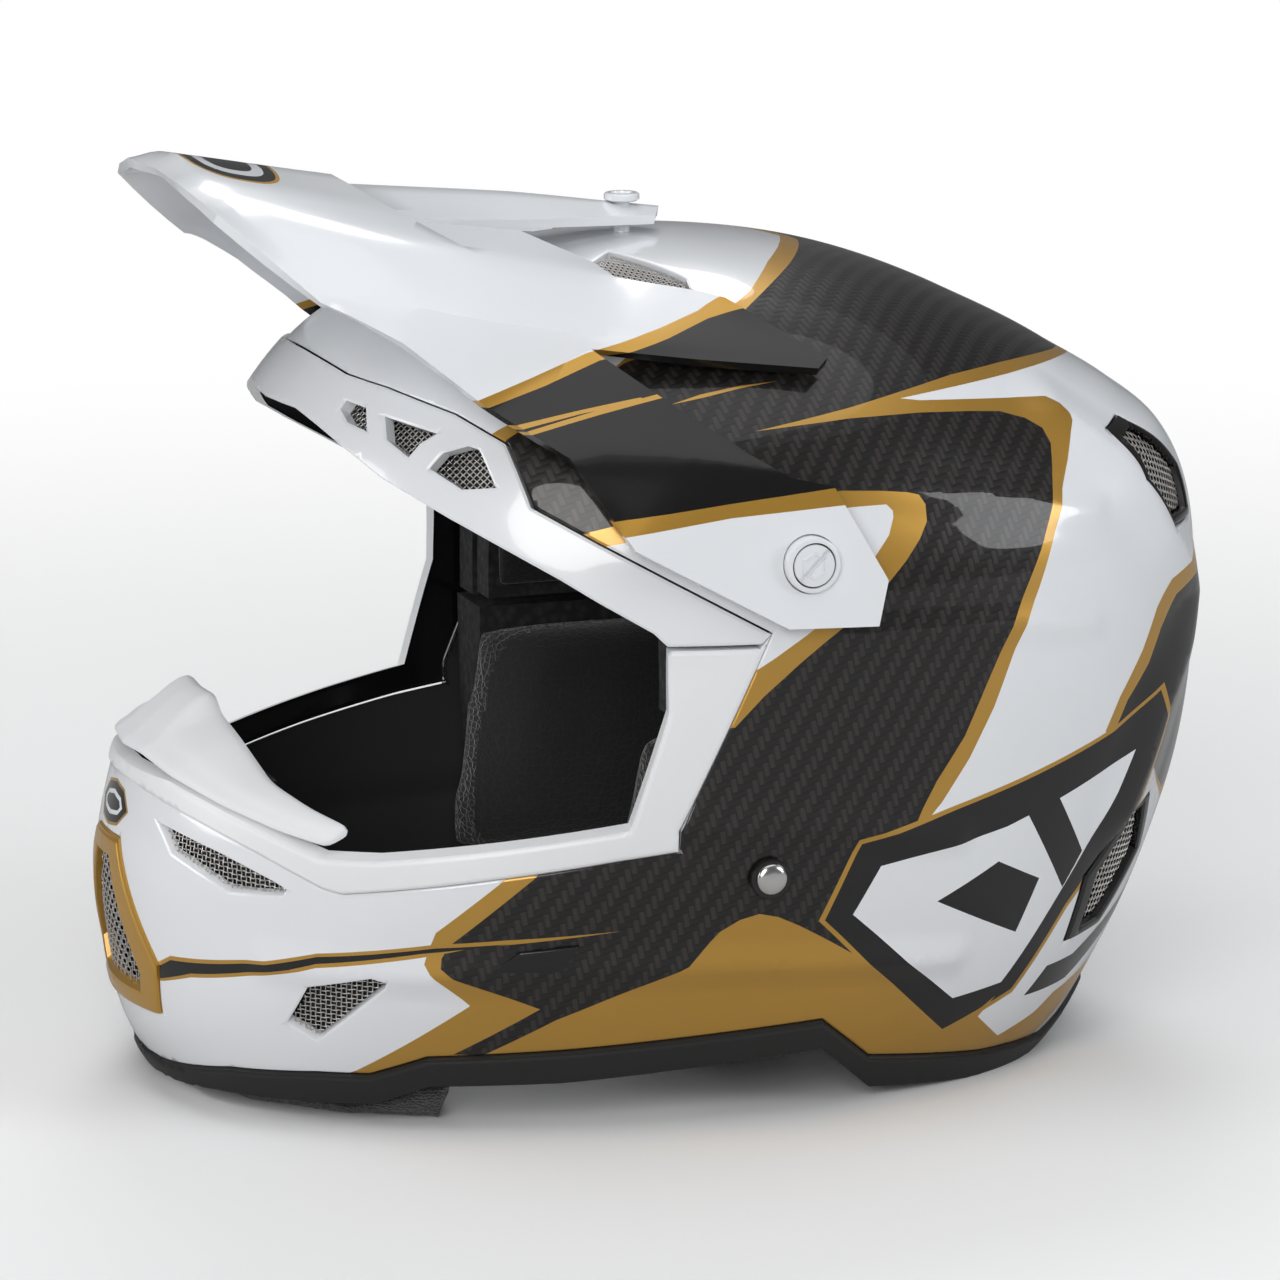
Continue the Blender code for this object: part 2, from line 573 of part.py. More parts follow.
def make_cheeks():
    for side_name, side in sides():
        y0, z0 = side_point(-24, 32)
        y1, z1 = side_point(72, 116)
        low, high = span(side, PAD_OUTER + STRAP_THICK + 3 * GAP, REACH)
        keep = box_tool(f"cheek_block_{side_name}.region", (low, y0, z0), (high, y1, z1))
        block = pillow(f"cheek_block_{side_name}", -EPS_START, 40, 20, EPS)
        boolean(block, keep, "INTERSECT")
        boolean(block, disc(f"cheek_block_{side_name}.rivet", side_point(*RIVET), RIVET_SHANK + GAP,
                            *span(side, 0.05, REACH), 16))
        points = []
        back, top = side_point(66, 114)
        front, foot = side_point(-30, 35)
        for share, depth in ((0.0, 0.55), (0.12, 0.85), (0.5, 1.0), (0.88, 0.9), (1.0, 0.6)):
            z = foot + (top - foot) * share
            lean = 0.012 * (1 - share)
            for step, fill in ((0.0, 0.35), (0.18, 0.9), (0.5, 1.0), (0.82, 0.85), (1.0, 0.4)):
                y = front - lean + (back - front + lean) * step
                points.append((side * (PAD_OUTER - PAD_THICK * depth * fill), y, z))
        count = len(points)
        points += [(side * PAD_OUTER, p[1], p[2]) for p in points]
        faces = []
        for r in range(4):
            for c in range(4):
                a = r * 5 + c
                faces.append((a, a + 1, a + 6, a + 5))
                faces.append(tuple(count + k for k in (a, a + 5, a + 6, a + 1)))
        rim = [0, 1, 2, 3, 4, 9, 14, 19, 24, 23, 22, 21, 20, 15, 10, 5]
        for a, b in zip(rim, rim[1:] + rim[:1]):
            faces.append((a, b, b + count, a + count))
        pad = add_object(f"cheek_pad_{side_name}", points, faces, FABRIC)
        recalculate(pad)
        pull_y, pull_z = side_point(-4, 35)
        low, high = span(side, PAD_OUTER - 0.012, PAD_OUTER - 0.0105)
        corners = [(x, y, z) for x in (low, high) for y in (pull_y - 0.026, pull_y - 0.012)
                   for z in (pull_z - 0.013, pull_z - GAP)]
        tab = add_object(f"release_tab_{side_name}", corners,
                         [(0, 1, 3, 2), (4, 6, 7, 5), (0, 4, 5, 1), (2, 3, 7, 6), (0, 2, 6, 4), (1, 5, 7, 3)],
                         ("tab_web", (0.5, 0.03, 0.03), 0.9))
        recalculate(tab)


def make_chin_liner():
    outline = [(-230, 22), (-98, 24), (-96, 66), (-120, 66), (-150, 78), (-230, 84)]
    keep = whole_tool("chin_liner.region", side_outline(outline))
    layer("chin_liner", -EPS_START, -EPS_START - 0.012, keep, EPS, (), 48, 22)


def make_neck_roll():
    outline = [(84, 16), (230, 22), (230, 50), (84, 50)]
    keep = whole_tool("neck_roll.region", side_outline(outline))
    layer("neck_roll", -0.0085, -0.024, keep, FABRIC, (), 40, 20)


def make_visor():
    names = list(VISOR_POINTS)
    right = {}
    points = []
    for name in names:
        points.append(space_point(*VISOR_POINTS[name]))
    for name in names:
        x, y, z = VISOR_POINTS[name]
        right[name] = names.index(name) if x == 0 else len(points)
        if x:
            points.append(space_point(-x, y, z))
    faces = [tuple(names.index(n) for n in face) for face in VISOR_FACES]
    faces += [tuple(right[n] for n in reversed(face)) for face in VISOR_FACES]
    visor = add_object("visor", points, faces, WHITE_PAINT)
    recalculate(visor)
    outward = visor.data.polygons[0].normal.z
    if outward < 0:
        visor.data.flip_normals()
    wall = visor.modifiers.new("wall", "SOLIDIFY")
    wall.thickness = VISOR_THICK
    wall.offset = -1.0
    wall.use_even_offset = True
    wall.use_quality_normals = True
    screw_y, screw_z = side_point(*PIVOT)
    for side_name, side in sides():
        low, high = span(side, 0.06, REACH)
        boolean(visor, disc(f"visor.screw.{side_name}", (screw_y, screw_z), SCREW_RADIUS + GAP, low, high, 28))
    boolean(visor, disc("visor.centre_hole", CENTRE_SCREW, CENTRE_SHANK + GAP, 0.2, REACH, 16, "z"))
    return visor


def turned(name, steps, centre, side, look, sides_count=28, axis="x"):
    """A stepped round piece: (distance along its axis, radius) steps, closed at both ends."""
    points, faces = [], []
    for along, radius in steps:
        for i in range(sides_count):
            a = 2 * math.pi * i / sides_count
            u, v = centre[0] + radius * math.cos(a), centre[1] + radius * math.sin(a)
            points.append((side * along, u, v) if axis == "x" else (u, v, along))
    for r in range(len(steps) - 1):
        for i in range(sides_count):
            j = (i + 1) % sides_count
            a, b = r * sides_count, (r + 1) * sides_count
            faces.append((a + i, a + j, b + j, b + i))
    faces.append(tuple(range(sides_count)))
    faces.append(tuple(range(len(points) - 1, len(points) - 1 - sides_count, -1)))
    made = add_object(name, points, faces, look)
    recalculate(made)
    made.data.shade_smooth()
    made.data.set_sharp_from_angle(angle=math.radians(40))
    return made


def set_origin(made, place):
    """Moves the object's origin onto its joint's axis and leaves its shape where it is."""
    made.data.transform(Matrix.Translation(-Vector(place)))
    made.location = place


def make_screws():
    screw_y, screw_z = side_point(*PIVOT)
    face = SHELL_WIDTH / 2 + VISOR_RISE
    for side_name, side in sides():
        steps = [(SHELL_WIDTH / 2 - EPS_START + 3 * GAP, SCREW_SHANK), (face - SCREW_HEAD, SCREW_SHANK),
                 (face - SCREW_HEAD, SCREW_RADIUS), (face + 0.0002, SCREW_RADIUS),
                 (face + 0.0008, SCREW_RADIUS - 0.0007)]
        screw = turned(f"side_screw_{side_name}", steps, (screw_y, screw_z), side, WHITE_PAINT)
        tilt = math.radians(45)
        long, half = 0.0065, SLOT_WIDTH / 2
        corners = [(-long, -half), (long, -half), (long, half), (-long, half)]
        outline = [(screw_y + u * math.cos(tilt) - v * math.sin(tilt),
                    screw_z + u * math.sin(tilt) + v * math.cos(tilt)) for u, v in corners]
        low, high = span(side, face - 0.0006, face + 0.01)
        boolean(screw, prism(f"side_screw_{side_name}.slot", outline, low, high))
        set_origin(screw, (side * face, screw_y, screw_z))
    top = side_point(0, 263.2)[1]
    steps = [(CZ + float(reach(math.pi / 2)) - EPS_START + 3 * GAP, CENTRE_SHANK), (top - 0.002, CENTRE_SHANK),
             (top - 0.002, CENTRE_SCREW_RADIUS), (top, CENTRE_SCREW_RADIUS - 0.0008)]
    screw = turned("centre_screw", steps, CENTRE_SCREW, 1, GLOSS_BLACK, 20, "z")
    set_origin(screw, (CENTRE_SCREW[0], CENTRE_SCREW[1], top))


def make_rivets():
    y, z = side_point(*RIVET)
    skin = half_width(y, z)
    for side_name, side in sides():
        head = skin + 0.0022
        turned(f"strap_rivet_{side_name}",
               [(PAD_OUTER + STRAP_THICK + 2 * GAP, RIVET_SHANK), (head, RIVET_SHANK), (head, RIVET_RADIUS),
                (head + 0.0008, RIVET_RADIUS), (head + 0.0016, RIVET_RADIUS * 0.7)],
               (y, z), side, METAL, 20)
        ring = turned(f"rivet_washer_{side_name}",
                      [(skin + 0.0009, RIVET_RING), (skin + 0.0016, RIVET_RING), (head - GAP, RIVET_RING - 0.0006)],
                      (y, z), side, GLOSS_BLACK, 24)
        low, high = span(side, skin - 0.01, skin + 0.01)
        boolean(ring, disc(f"rivet_washer_{side_name}.hole", (y, z), RIVET_SHANK + GAP, low, high, 20))


def strap_outline(route, thick):
    """A band of even thickness along a route of x, z points."""
    left, right = [], []
    for i, here in enumerate(route):
        before, after = route[max(i - 1, 0)], route[min(i + 1, len(route) - 1)]
        way = Vector((after[0] - before[0], after[1] - before[1])).normalized()
        normal = Vector((-way.y, way.x)) * thick / 2
        left.append((here[0] + normal.x, here[1] + normal.y))
        right.append((here[0] - normal.x, here[1] - normal.y))
    return left + right[::-1]


def make_straps():
    """Webbing from each rivet down the cheek block and in under the pads; the left end carries the D-rings."""
    y, z = side_point(*RIVET)
    middle = PAD_OUTER + GAP + STRAP_THICK / 2
    for side_name, side in sides():
        route = [(middle, z + 0.012), (middle, STRAP_RUN + STRAP_BEND)]
        for k in range(1, 7):
            a = math.radians(15 * k)
            route.append((middle - STRAP_BEND * (1 - math.cos(a)), STRAP_RUN + STRAP_BEND * (1 - math.sin(a))))
        if side > 0:
            radius = RING_HOLD + STRAP_THICK / 2
            for k in range(13):
                a = math.radians(90 + 26 * k)
                route.append((RING_X + radius * math.cos(a), STRAP_RUN - radius + radius * math.sin(a)))
        else:
            route.append((STRAP_TAIL + 0.02, STRAP_RUN - 0.004))
            route.append((STRAP_TAIL, STRAP_RUN - 0.004))
        outline = [(side * u, v) for u, v in strap_outline(route, STRAP_THICK)]
        strap = prism(f"chin_strap_{side_name}", outline, y - STRAP_WIDTH / 2, y + STRAP_WIDTH / 2, "y")
        strap.hide_render = False
        strap.display_type = "TEXTURED"
        strap.data.materials.append(material("webbing", CLOTH, 0.9))


def make_rings():
    """Two D-rings that hang from the left strap's folded end by their straight bars."""
    y = side_point(*RIVET)[0]
    z = STRAP_RUN - RING_HOLD - STRAP_THICK / 2
    half = STRAP_WIDTH / 2 + RING_WIRE + GAP
    around = 8
    for number, shift in ((1, RING_WIRE + GAP / 2), (2, -RING_WIRE - GAP / 2)):
        route = [(y - half + 2 * half * k / 4, z) for k in range(5)]
        for k in range(1, 12):
            a = math.pi * k / 12
            route.append((y + half * math.cos(a), z - 0.004 - half * math.sin(a)))
        count = len(route)
        points, faces = [], []
        for i, here in enumerate(route):
            before, after = route[i - 1], route[(i + 1) % count]
            way = Vector((after[0] - before[0], after[1] - before[1])).normalized()
            for s in range(around):
                a = 2 * math.pi * s / around
                out = RING_WIRE * math.cos(a)
                points.append((RING_X + shift + RING_WIRE * math.sin(a), here[0] + way.y * out,
                               here[1] - way.x * out))
        for i in range(count):
            j = (i + 1) % count
            for s in range(around):
                t = (s + 1) % around
                faces.append((i * around + s, i * around + t, j * around + t, j * around + s))
        ring = add_object(f"d_ring_{number}", points, faces, METAL)
        recalculate(ring)
        ring.data.shade_smooth()
        set_origin(ring, (RING_X, y, z))


def main():
    clear_scene()
    make_shell()
    make_brow_band()
    make_brow_mesh()
    make_eyeport_trim()
    make_nose_guard()
    make_grille()
    make_vent_meshes()
    make_badges()
    make_base_trim()
    make_chin_pad()
    make_liners()
    make_dampers()
    make_cheeks()
    make_chin_liner()
    make_neck_roll()
    make_visor()
    make_screws()
    make_rivets()
    make_straps()
    make_rings()


main()
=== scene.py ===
import math

import bmesh
import bpy
import numpy as np
from mathutils import Matrix, Vector
from mathutils.geometry import delaunay_2d_cdt


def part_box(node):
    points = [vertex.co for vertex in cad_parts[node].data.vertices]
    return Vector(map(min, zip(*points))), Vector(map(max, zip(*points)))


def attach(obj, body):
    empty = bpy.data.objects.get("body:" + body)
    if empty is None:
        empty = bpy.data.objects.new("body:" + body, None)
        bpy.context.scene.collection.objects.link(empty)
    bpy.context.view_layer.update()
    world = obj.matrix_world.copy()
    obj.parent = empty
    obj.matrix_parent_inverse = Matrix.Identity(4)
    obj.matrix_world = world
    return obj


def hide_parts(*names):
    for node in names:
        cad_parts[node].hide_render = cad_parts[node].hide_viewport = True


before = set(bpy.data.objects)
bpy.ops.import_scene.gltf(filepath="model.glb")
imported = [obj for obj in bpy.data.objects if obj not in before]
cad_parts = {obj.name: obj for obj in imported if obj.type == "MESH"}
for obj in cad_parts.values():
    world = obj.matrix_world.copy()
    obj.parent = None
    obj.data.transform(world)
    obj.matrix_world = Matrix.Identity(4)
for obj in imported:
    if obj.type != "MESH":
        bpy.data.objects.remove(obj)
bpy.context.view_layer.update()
print("frame loaded,", len(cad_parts), "nodes")

mm = 0.001
floorShift = Vector((0.0, 0.2, 5.0))  # from the side drawing, in millimetres, to the floor frame
bothSides = (("left", 1), ("right", -1))  # the rider's left is +x

shellForm = {
    "middle": (5.0, 150.0),
    "halfWidth": 124.0,
    "wall": 3.6,
    "profile": [
        (15, 251), (-30, 249), (-70, 240), (-100, 226), (-118, 208), (-138, 170), (-157, 125), (-168, 92),
        (-173, 68), (-172, 42), (-164, 10), (-140, -20), (-90, -42), (-20, -50), (60, -42), (114, -15),
        (140, 20), (157, 55), (167, 85), (172, 115), (173, 145), (169, 175), (160, 192), (146, 203),
        (126, 215), (95, 231), (52, 246),
    ],
    "fullness": [(-157, 1.9), (-90, 2.5), (0, 2.5), (90, 2.3), (180, 2.0)],  # degrees, squareness
    "girthRise": 101,
    "girthFullness": 2.3,
}
midY, midZ = shellForm["middle"]
halfWidth = shellForm["halfWidth"]

faceTop = [(-230, 214), (-117, 214), (-109, 221), (-104, 217.5), (-97, 216), (-83, 211), (-72, 204),
           (-68, 187), (-51, 177), (-2, 149.5)]
browBottom = [(-5, 146.5), (-33, 147), (-37, 151), (-52, 160), (-62, 166.5), (-89, 182.5), (-104, 192),
              (-111, 199), (-117, 206), (-230, 206)]
trimOuter = [(-2, 149.5), (-29, 91.5), (-29, 85), (-47, 83), (-81, 78), (-108, 73.7), (-122, 71.5),
             (-127, 72.7), (-143, 81.5), (-160, 89.5), (-167, 93), (-230, 93)]
trimInner = [(-230, 98), (-160, 97), (-143, 89), (-127, 82), (-113, 82.5), (-44, 92.5), (-33, 127),
             (-33, 146), (-5.5, 145.5)]
baseLine = [(-230, 5.5), (-160, 6), (-147, 10.5), (-126, 13), (-112, 13.5), (-97, 20), (-59, 21.5),
            (21, 26), (39, 11), (80, 5), (107, 3.5), (120, 8), (129, 16), (230, 18)]
skirtLine = [(-230, -1), (-160, -0.5), (-148, 2), (-125, 3), (-109, 3.8), (-95, 10.5), (-58, 11),
             (22, 16.5), (41, 0), (84, -5), (112, -5), (126, 2), (136, 10.5), (230, 12)]
browVents = [
    [(-108.5, 208.5), (-106.5, 211), (-103, 210), (-104.5, 204), (-108, 205.5)],
    [(-99.5, 208.5), (-88.5, 205.5), (-93, 202.5), (-96.5, 198.5), (-100.5, 202.5)],
    [(-92, 196), (-88, 200.5), (-81.5, 202.8), (-79, 202), (-76.5, 192), (-85, 191)],
]
upperChinVent = [(-164, 84), (-162, 76), (-150, 68), (-137, 69), (-136, 71), (-139, 73), (-151, 79)]
lowerChinVent = [(-130.5, 41.5), (-114, 46.5), (-110, 45), (-110.5, 43), (-127, 24), (-135, 29)]
badgeShape = [(-83.5, 47.5), (-74, 55.5), (-57, 57), (-62, 47)]
crownVent = [(34, -29), (25, -19), (54, -4), (61, -5), (61, -9), (50, -24)]  # from above: x, y
rearUpperVent = [(82, 196), (70, 198), (62, 180), (66, 164), (84, 164), (89, 181)]  # from behind: x, z
rearLowerVent = [(90, 79), (81, 82), (72, 62), (79, 40), (91, 38), (96, 60)]
grilleHole = [(-7, 69), (7, 69), (23, 36), (21, 29), (-21, 29), (-23, 36)]  # from the front: x, z
grilleRim = [(-12, 75), (12, 75), (32, 40), (29, 24), (-29, 24), (-32, 40)]
pivot = (8.5, 170.5)
rivetPlace = (-0.8, 75.0)


def closedCurve(angle, knots):
    where, value = np.array(sorted(knots), float).T
    turn = 2 * math.pi
    before = np.concatenate([[where[-1] - turn], where[:-1]])
    after = np.concatenate([where[1:], [where[0] + turn]])
    slope = (np.roll(value, -1) - np.roll(value, 1)) / (after - before)
    angle = np.mod(np.asarray(angle, float) - where[0], turn) + where[0]
    i = np.searchsorted(where, angle, side="right") - 1
    j = (i + 1) % len(where)
    span = after[i] - where[i]
    t = (angle - where[i]) / span
    return (value[i] * (1 + 2 * t) * (1 - t) ** 2 + value[j] * t * t * (3 - 2 * t)
            + span * (slope[i] * t * (1 - t) ** 2 + slope[j] * t * t * (t - 1)))


reachKnots = [(math.atan2(z - midZ, y - midY), math.hypot(y - midY, z - midZ))
              for y, z in shellForm["profile"]]
fullKnots = [(math.radians(a), n) for a, n in shellForm["fullness"]]


def reachAt(angle):
    return closedCurve(angle, reachKnots)


def fullnessAt(angle):
    return closedCurve(angle, fullKnots)


# The pattern sheet is the shell's side unrolled flat: distance from the middle is measured over the surface.
sheetRows, sheetColumns = 720, 400
rowAngles = np.linspace(-math.pi, math.pi, sheetRows + 1)
columnTurns = np.linspace(0, math.pi / 2, sheetColumns + 1)


def buildSheet():
    n = fullnessAt(rowAngles)[:, None]
    out = halfWidth * np.cos(columnTurns)[None] ** (2 / n)
    out[:, -1] = 0
    flat = reachAt(rowAngles)[:, None] * np.sin(columnTurns)[None] ** (2 / n)
    lengths = np.hypot(np.diff(out, axis=1), np.diff(flat, axis=1))
    run = np.concatenate([np.zeros((sheetRows + 1, 1)), np.cumsum(lengths, axis=1)], axis=1)
    share = np.linspace(0, 1, sheetColumns + 1)
    turns = np.array([np.interp(share * row[-1], row, columnTurns) for row in run])
    return run, turns


sheetRun, sheetTurns = buildSheet()
fullRun = sheetRun[:, -1]


def lookUp(grid, angle, share):
    f = (np.asarray(angle, float) + math.pi) / (2 * math.pi) * sheetRows
    i = np.clip(f.astype(int), 0, sheetRows - 1)
    g = np.clip(share, 0, 1) * sheetColumns
    j = np.clip(g.astype(int), 0, sheetColumns - 1)
    p, q = f - i, g - j
    return (grid[i, j] * (1 - p) * (1 - q) + grid[i + 1, j] * p * (1 - q)
            + grid[i, j + 1] * (1 - p) * q + grid[i + 1, j + 1] * p * q)


def edgeRun(angle):
    return np.interp(angle, rowAngles, fullRun)


def onShell(a, b, offset=0.0):  # pattern sheet to drawn x, y, z
    a, b = np.asarray(a, float), np.asarray(b, float)
    angle = np.arctan2(b - midZ, a - midY)
    share = sheetShare(a, b)
    beyond = share > 1
    turn = lookUp(sheetTurns, angle, np.where(beyond, 2 - share, share))
    turn = np.where(beyond, math.pi - turn, turn)
    n = fullnessAt(angle)
    c, s = np.cos(turn), np.abs(np.sin(turn))
    x = (halfWidth + offset) * np.sign(c) * np.abs(c) ** (2 / n)
    r = (reachAt(angle) + offset) * s ** (2 / n)
    return np.stack([x, midY + r * np.cos(angle), midZ + r * np.sin(angle)], -1)


def sheetPoint(angle, run):
    return np.stack([midY + run * np.cos(angle), midZ + run * np.sin(angle)], -1)


def sheetShare(a, b):  # 0 at the side's middle, 1 on the helmet's middle line
    return np.hypot(a - midY, b - midZ) / edgeRun(np.arctan2(b - midZ, a - midY))


def fromSide(outline):
    y, z = np.array(outline, float).T
    angle = np.arctan2(z - midZ, y - midY)
    share = np.hypot(y - midY, z - midZ) / reachAt(angle)
    turn = np.arcsin(np.clip(share, 0, 1) ** (fullnessAt(angle) / 2))
    run = lookUp(sheetRun, angle, turn / (math.pi / 2)) + np.maximum(share - 1, 0) * edgeRun(angle)
    return sheetPoint(angle, run)


def fromSpace(x, y, z):
    angle = np.arctan2(z - midZ, y - midY)
    turn = np.arccos(np.clip(np.abs(x) / halfWidth, 0, 1) ** (fullnessAt(angle) / 2))
    run = lookUp(sheetRun, angle, turn / (math.pi / 2))
    return sheetPoint(angle, np.where(x < 0, 2 * edgeRun(angle) - run, run))


def isOutside(x, y, z):
    angle = np.arctan2(z - midZ, y - midY)
    n = fullnessAt(angle)
    return (np.abs(x) / halfWidth) ** n + (np.hypot(y - midY, z - midZ) / reachAt(angle)) ** n > 1


def surfaceFrom(start, reach, isOut):  # halves the gap between inside and outside until it lies on the shell
    low, high = start, start + reach
    for _ in range(36):
        middle = (low + high) / 2
        out = isOut(middle)
        low, high = np.where(out, low, middle), np.where(out, middle, high)
    return low


def fromEnd(outline, way):  # an outline seen from the front (-1) or from behind (1): x, z
    x, z = np.array(outline, float).T
    y = surfaceFrom(np.full(len(x), midY), way * 230, lambda y: isOutside(x, y, z))
    return fromSpace(x, y, z)


def fromAbove(outline):
    x, y = np.array(outline, float).T
    z = surfaceFrom(np.full(len(x), midZ), 130, lambda z: isOutside(x, y, z))
    return fromSpace(x, y, z)


def pairsOf(outline):  # each corner with the next one round
    return list(zip(outline, outline[1:] + outline[:1]))


def dense(outline, step=1.6, closed=True):
    made = []
    for (u0, v0), (u1, v1) in pairsOf(outline)[:None if closed else -1]:
        count = max(1, round(math.hypot(u1 - u0, v1 - v0) / step))
        made += [(u0 + (u1 - u0) * k / count, v0 + (v1 - v0) * k / count) for k in range(count)]
    return made if closed else made + [outline[-1]]


def grown(outline, amount):
    turned = sum(p[0] * q[1] - q[0] * p[1] for p, q in pairsOf(outline))
    sign = 1 if turned > 0 else -1
    made = []
    for before, here, after in zip(outline[-1:] + outline[:-1], outline, outline[1:] + outline[:1]):
        into = Vector((here[0] - before[0], here[1] - before[1])).normalized()
        away = Vector((after[0] - here[0], after[1] - here[1])).normalized()
        normal = Vector((into.y + away.y, -into.x - away.x)) * sign
        scale = amount * 2 / max(normal.length_squared, 0.35)
        made.append((here[0] + normal.x * scale, here[1] + normal.y * scale))
    return made


def within(outline, u, v):
    found = np.zeros(np.shape(u), bool)
    for (u0, v0), (u1, v1) in pairsOf(outline):
        crosses = (v0 > v) != (v1 > v)
        found ^= crosses & (u < (u1 - u0) * (v - v0) / (v1 - v0 + 1e-12) + u0)
    return found


def lineHeight(line, y):
    ys, zs = np.array(line, float).T
    return np.interp(y, ys, zs)


def distanceTo(segments, a, b, limit=1e9):
    best = np.full(len(a), limit, float)
    points = np.stack([a, b], -1)
    start, end = segments[:, 0], segments[:, 1]
    along = end - start
    size = (along**2).sum(-1) + 1e-12
    for low in range(0, len(a), 2048):
        p = points[low:low + 2048, None] - start[None]
        t = np.clip((p * along).sum(-1) / size, 0, 1)
        gap = np.hypot(*(p - t[..., None] * along).transpose(2, 0, 1))
        best[low:low + 2048] = np.minimum(best[low:low + 2048], gap.min(1))
    return best


def girth(x, z):  # distance round the body from the side's middle, for cloth patterns
    turn = np.linspace(0, math.pi / 2, 200)
    power = 2 / shellForm["girthFullness"]
    out, up = halfWidth * np.cos(turn) ** power, shellForm["girthRise"] * np.sin(turn) ** power
    lengths = np.concatenate([[0], np.cumsum(np.hypot(np.diff(out), np.diff(up)))])
    angles = np.arctan2(up, out)
    where = np.arctan2(np.maximum(z - midZ, 0), np.abs(x) + 1e-9)
    return np.interp(where, angles, lengths) + np.minimum(z - midZ, 0)


def placed(points):  # drawn millimetres to metres in the floor frame
    return (np.asarray(points, float) + np.array(floorShift)) * mm


def drawnFrom(points):
    return np.array(points) / mm - np.array(floorShift)


def newMaterial(name):
    made = bpy.data.materials.new(name)
    made.use_nodes = True
    tree = made.node_tree
    return made, tree, tree.nodes["Principled BSDF"]


def feed(tree, socket, value):  # a number, a colour or another node's output
    if isinstance(value, (int, float)):
        socket.default_value = value
    elif isinstance(value, tuple):
        socket.default_value = (*value, 1.0)
    else:
        tree.links.new(value, socket)


def setInputs(node, values):
    for label, value in values.items():
        node.inputs[label].default_value = value


def addMath(tree, operation, *values, clamp=False):
    node = tree.nodes.new("ShaderNodeMath")
    node.operation = operation
    node.use_clamp = clamp
    for socket, value in zip(node.inputs, values):
        feed(tree, socket, value)
    return node.outputs[0]


def addProduct(tree, first, second):
    return addMath(tree, "MULTIPLY", first, second)


def addMix(tree, share, first, second):
    node = tree.nodes.new("ShaderNodeMix")
    node.data_type = "RGBA"
    for number, value in ((0, share), (6, first), (7, second)):
        feed(tree, node.inputs[number], value)
    return node.outputs[2]


def darker(colour, share):
    return tuple(c * share for c in colour)


def newGroup(name, inputs, outputs):
    group = bpy.data.node_groups.new(name, "ShaderNodeTree")
    group.interface.new_socket("Vector", in_out="INPUT", socket_type="NodeSocketVector")
    for label, value in inputs.items():
        socket = group.interface.new_socket(label, in_out="INPUT", socket_type="NodeSocketFloat")
        socket.default_value = value
    for label in outputs:
        group.interface.new_socket(label, in_out="OUTPUT", socket_type="NodeSocketFloat")
    return group, group.nodes.new("NodeGroupInput"), group.nodes.new("NodeGroupOutput")


def buildGrain():  # fine uneven surface: a height, and slow light and dark changes
    group, start, end = newGroup("surfaceGrain", {"Fine": 900.0, "Broad": 14.0}, ["Height", "Tone"])
    for scale, target, detail in (("Fine", "Height", 3.0), ("Broad", "Tone", 4.0)):
        noise = group.nodes.new("ShaderNodeTexNoise")
        noise.inputs["Detail"].default_value = detail
        group.links.new(start.outputs["Vector"], noise.inputs["Vector"])
        group.links.new(start.outputs[scale], noise.inputs["Scale"])
        group.links.new(noise.outputs["Fac"], end.inputs[target])
    return group


def buildTwill():  # two over, two under: which tow lies on top, its crown and its fibres
    group, start, end = newGroup("twillWeave", {"Tow": 0.0022}, ["Lengthwise", "Height", "Sheen"])
    split = group.nodes.new("ShaderNodeSeparateXYZ")
    group.links.new(start.outputs["Vector"], split.inputs[0])
    u = addMath(group, "DIVIDE", split.outputs[0], start.outputs["Tow"])
    v = addMath(group, "DIVIDE", split.outputs[1], start.outputs["Tow"])
    cells = addMath(group, "ADD", addMath(group, "FLOOR", u), addMath(group, "FLOOR", v))
    quarter = addMath(group, "FRACT", addMath(group, "DIVIDE", addMath(group, "ADD", cells, 0.5), 4.0))
    lengthwise = addMath(group, "LESS_THAN", quarter, 0.5)
    crowns = []
    for across in (v, u):
        swing = addMath(group, "SINE", addProduct(group, addMath(group, "FRACT", across), math.pi))
        crowns.append(addMath(group, "POWER", swing, 0.6))
    crosswise = addMath(group, "SUBTRACT", 1.0, lengthwise)

    def onTop(first, second):  # the lengthwise tow's value, or the crosswise one's
        return addMath(group, "ADD", addProduct(group, first, lengthwise),
                       addProduct(group, second, crosswise))

    height = onTop(*crowns)
    tones = []
    for stretch in ((0.04, 1.6, 1.0), (1.6, 0.04, 1.0)):
        scaled = group.nodes.new("ShaderNodeVectorMath")
        scaled.operation = "MULTIPLY"
        scaled.inputs[1].default_value = stretch
        group.links.new(start.outputs["Vector"], scaled.inputs[0])
        noise = group.nodes.new("ShaderNodeTexNoise")
        setInputs(noise, {"Scale": 4200.0, "Detail": 1.0})
        group.links.new(scaled.outputs[0], noise.inputs["Vector"])
        tones.append(noise.outputs["Fac"])
    group.links.new(lengthwise, end.inputs["Lengthwise"])
    group.links.new(height, end.inputs["Height"])
    # Sheen is painted light: it is lighter on the tow crowns and along the fibre streaks, for painting a
    # sheen into a colour
    group.links.new(addProduct(group, height, onTop(*tones)), end.inputs["Sheen"])
    return group


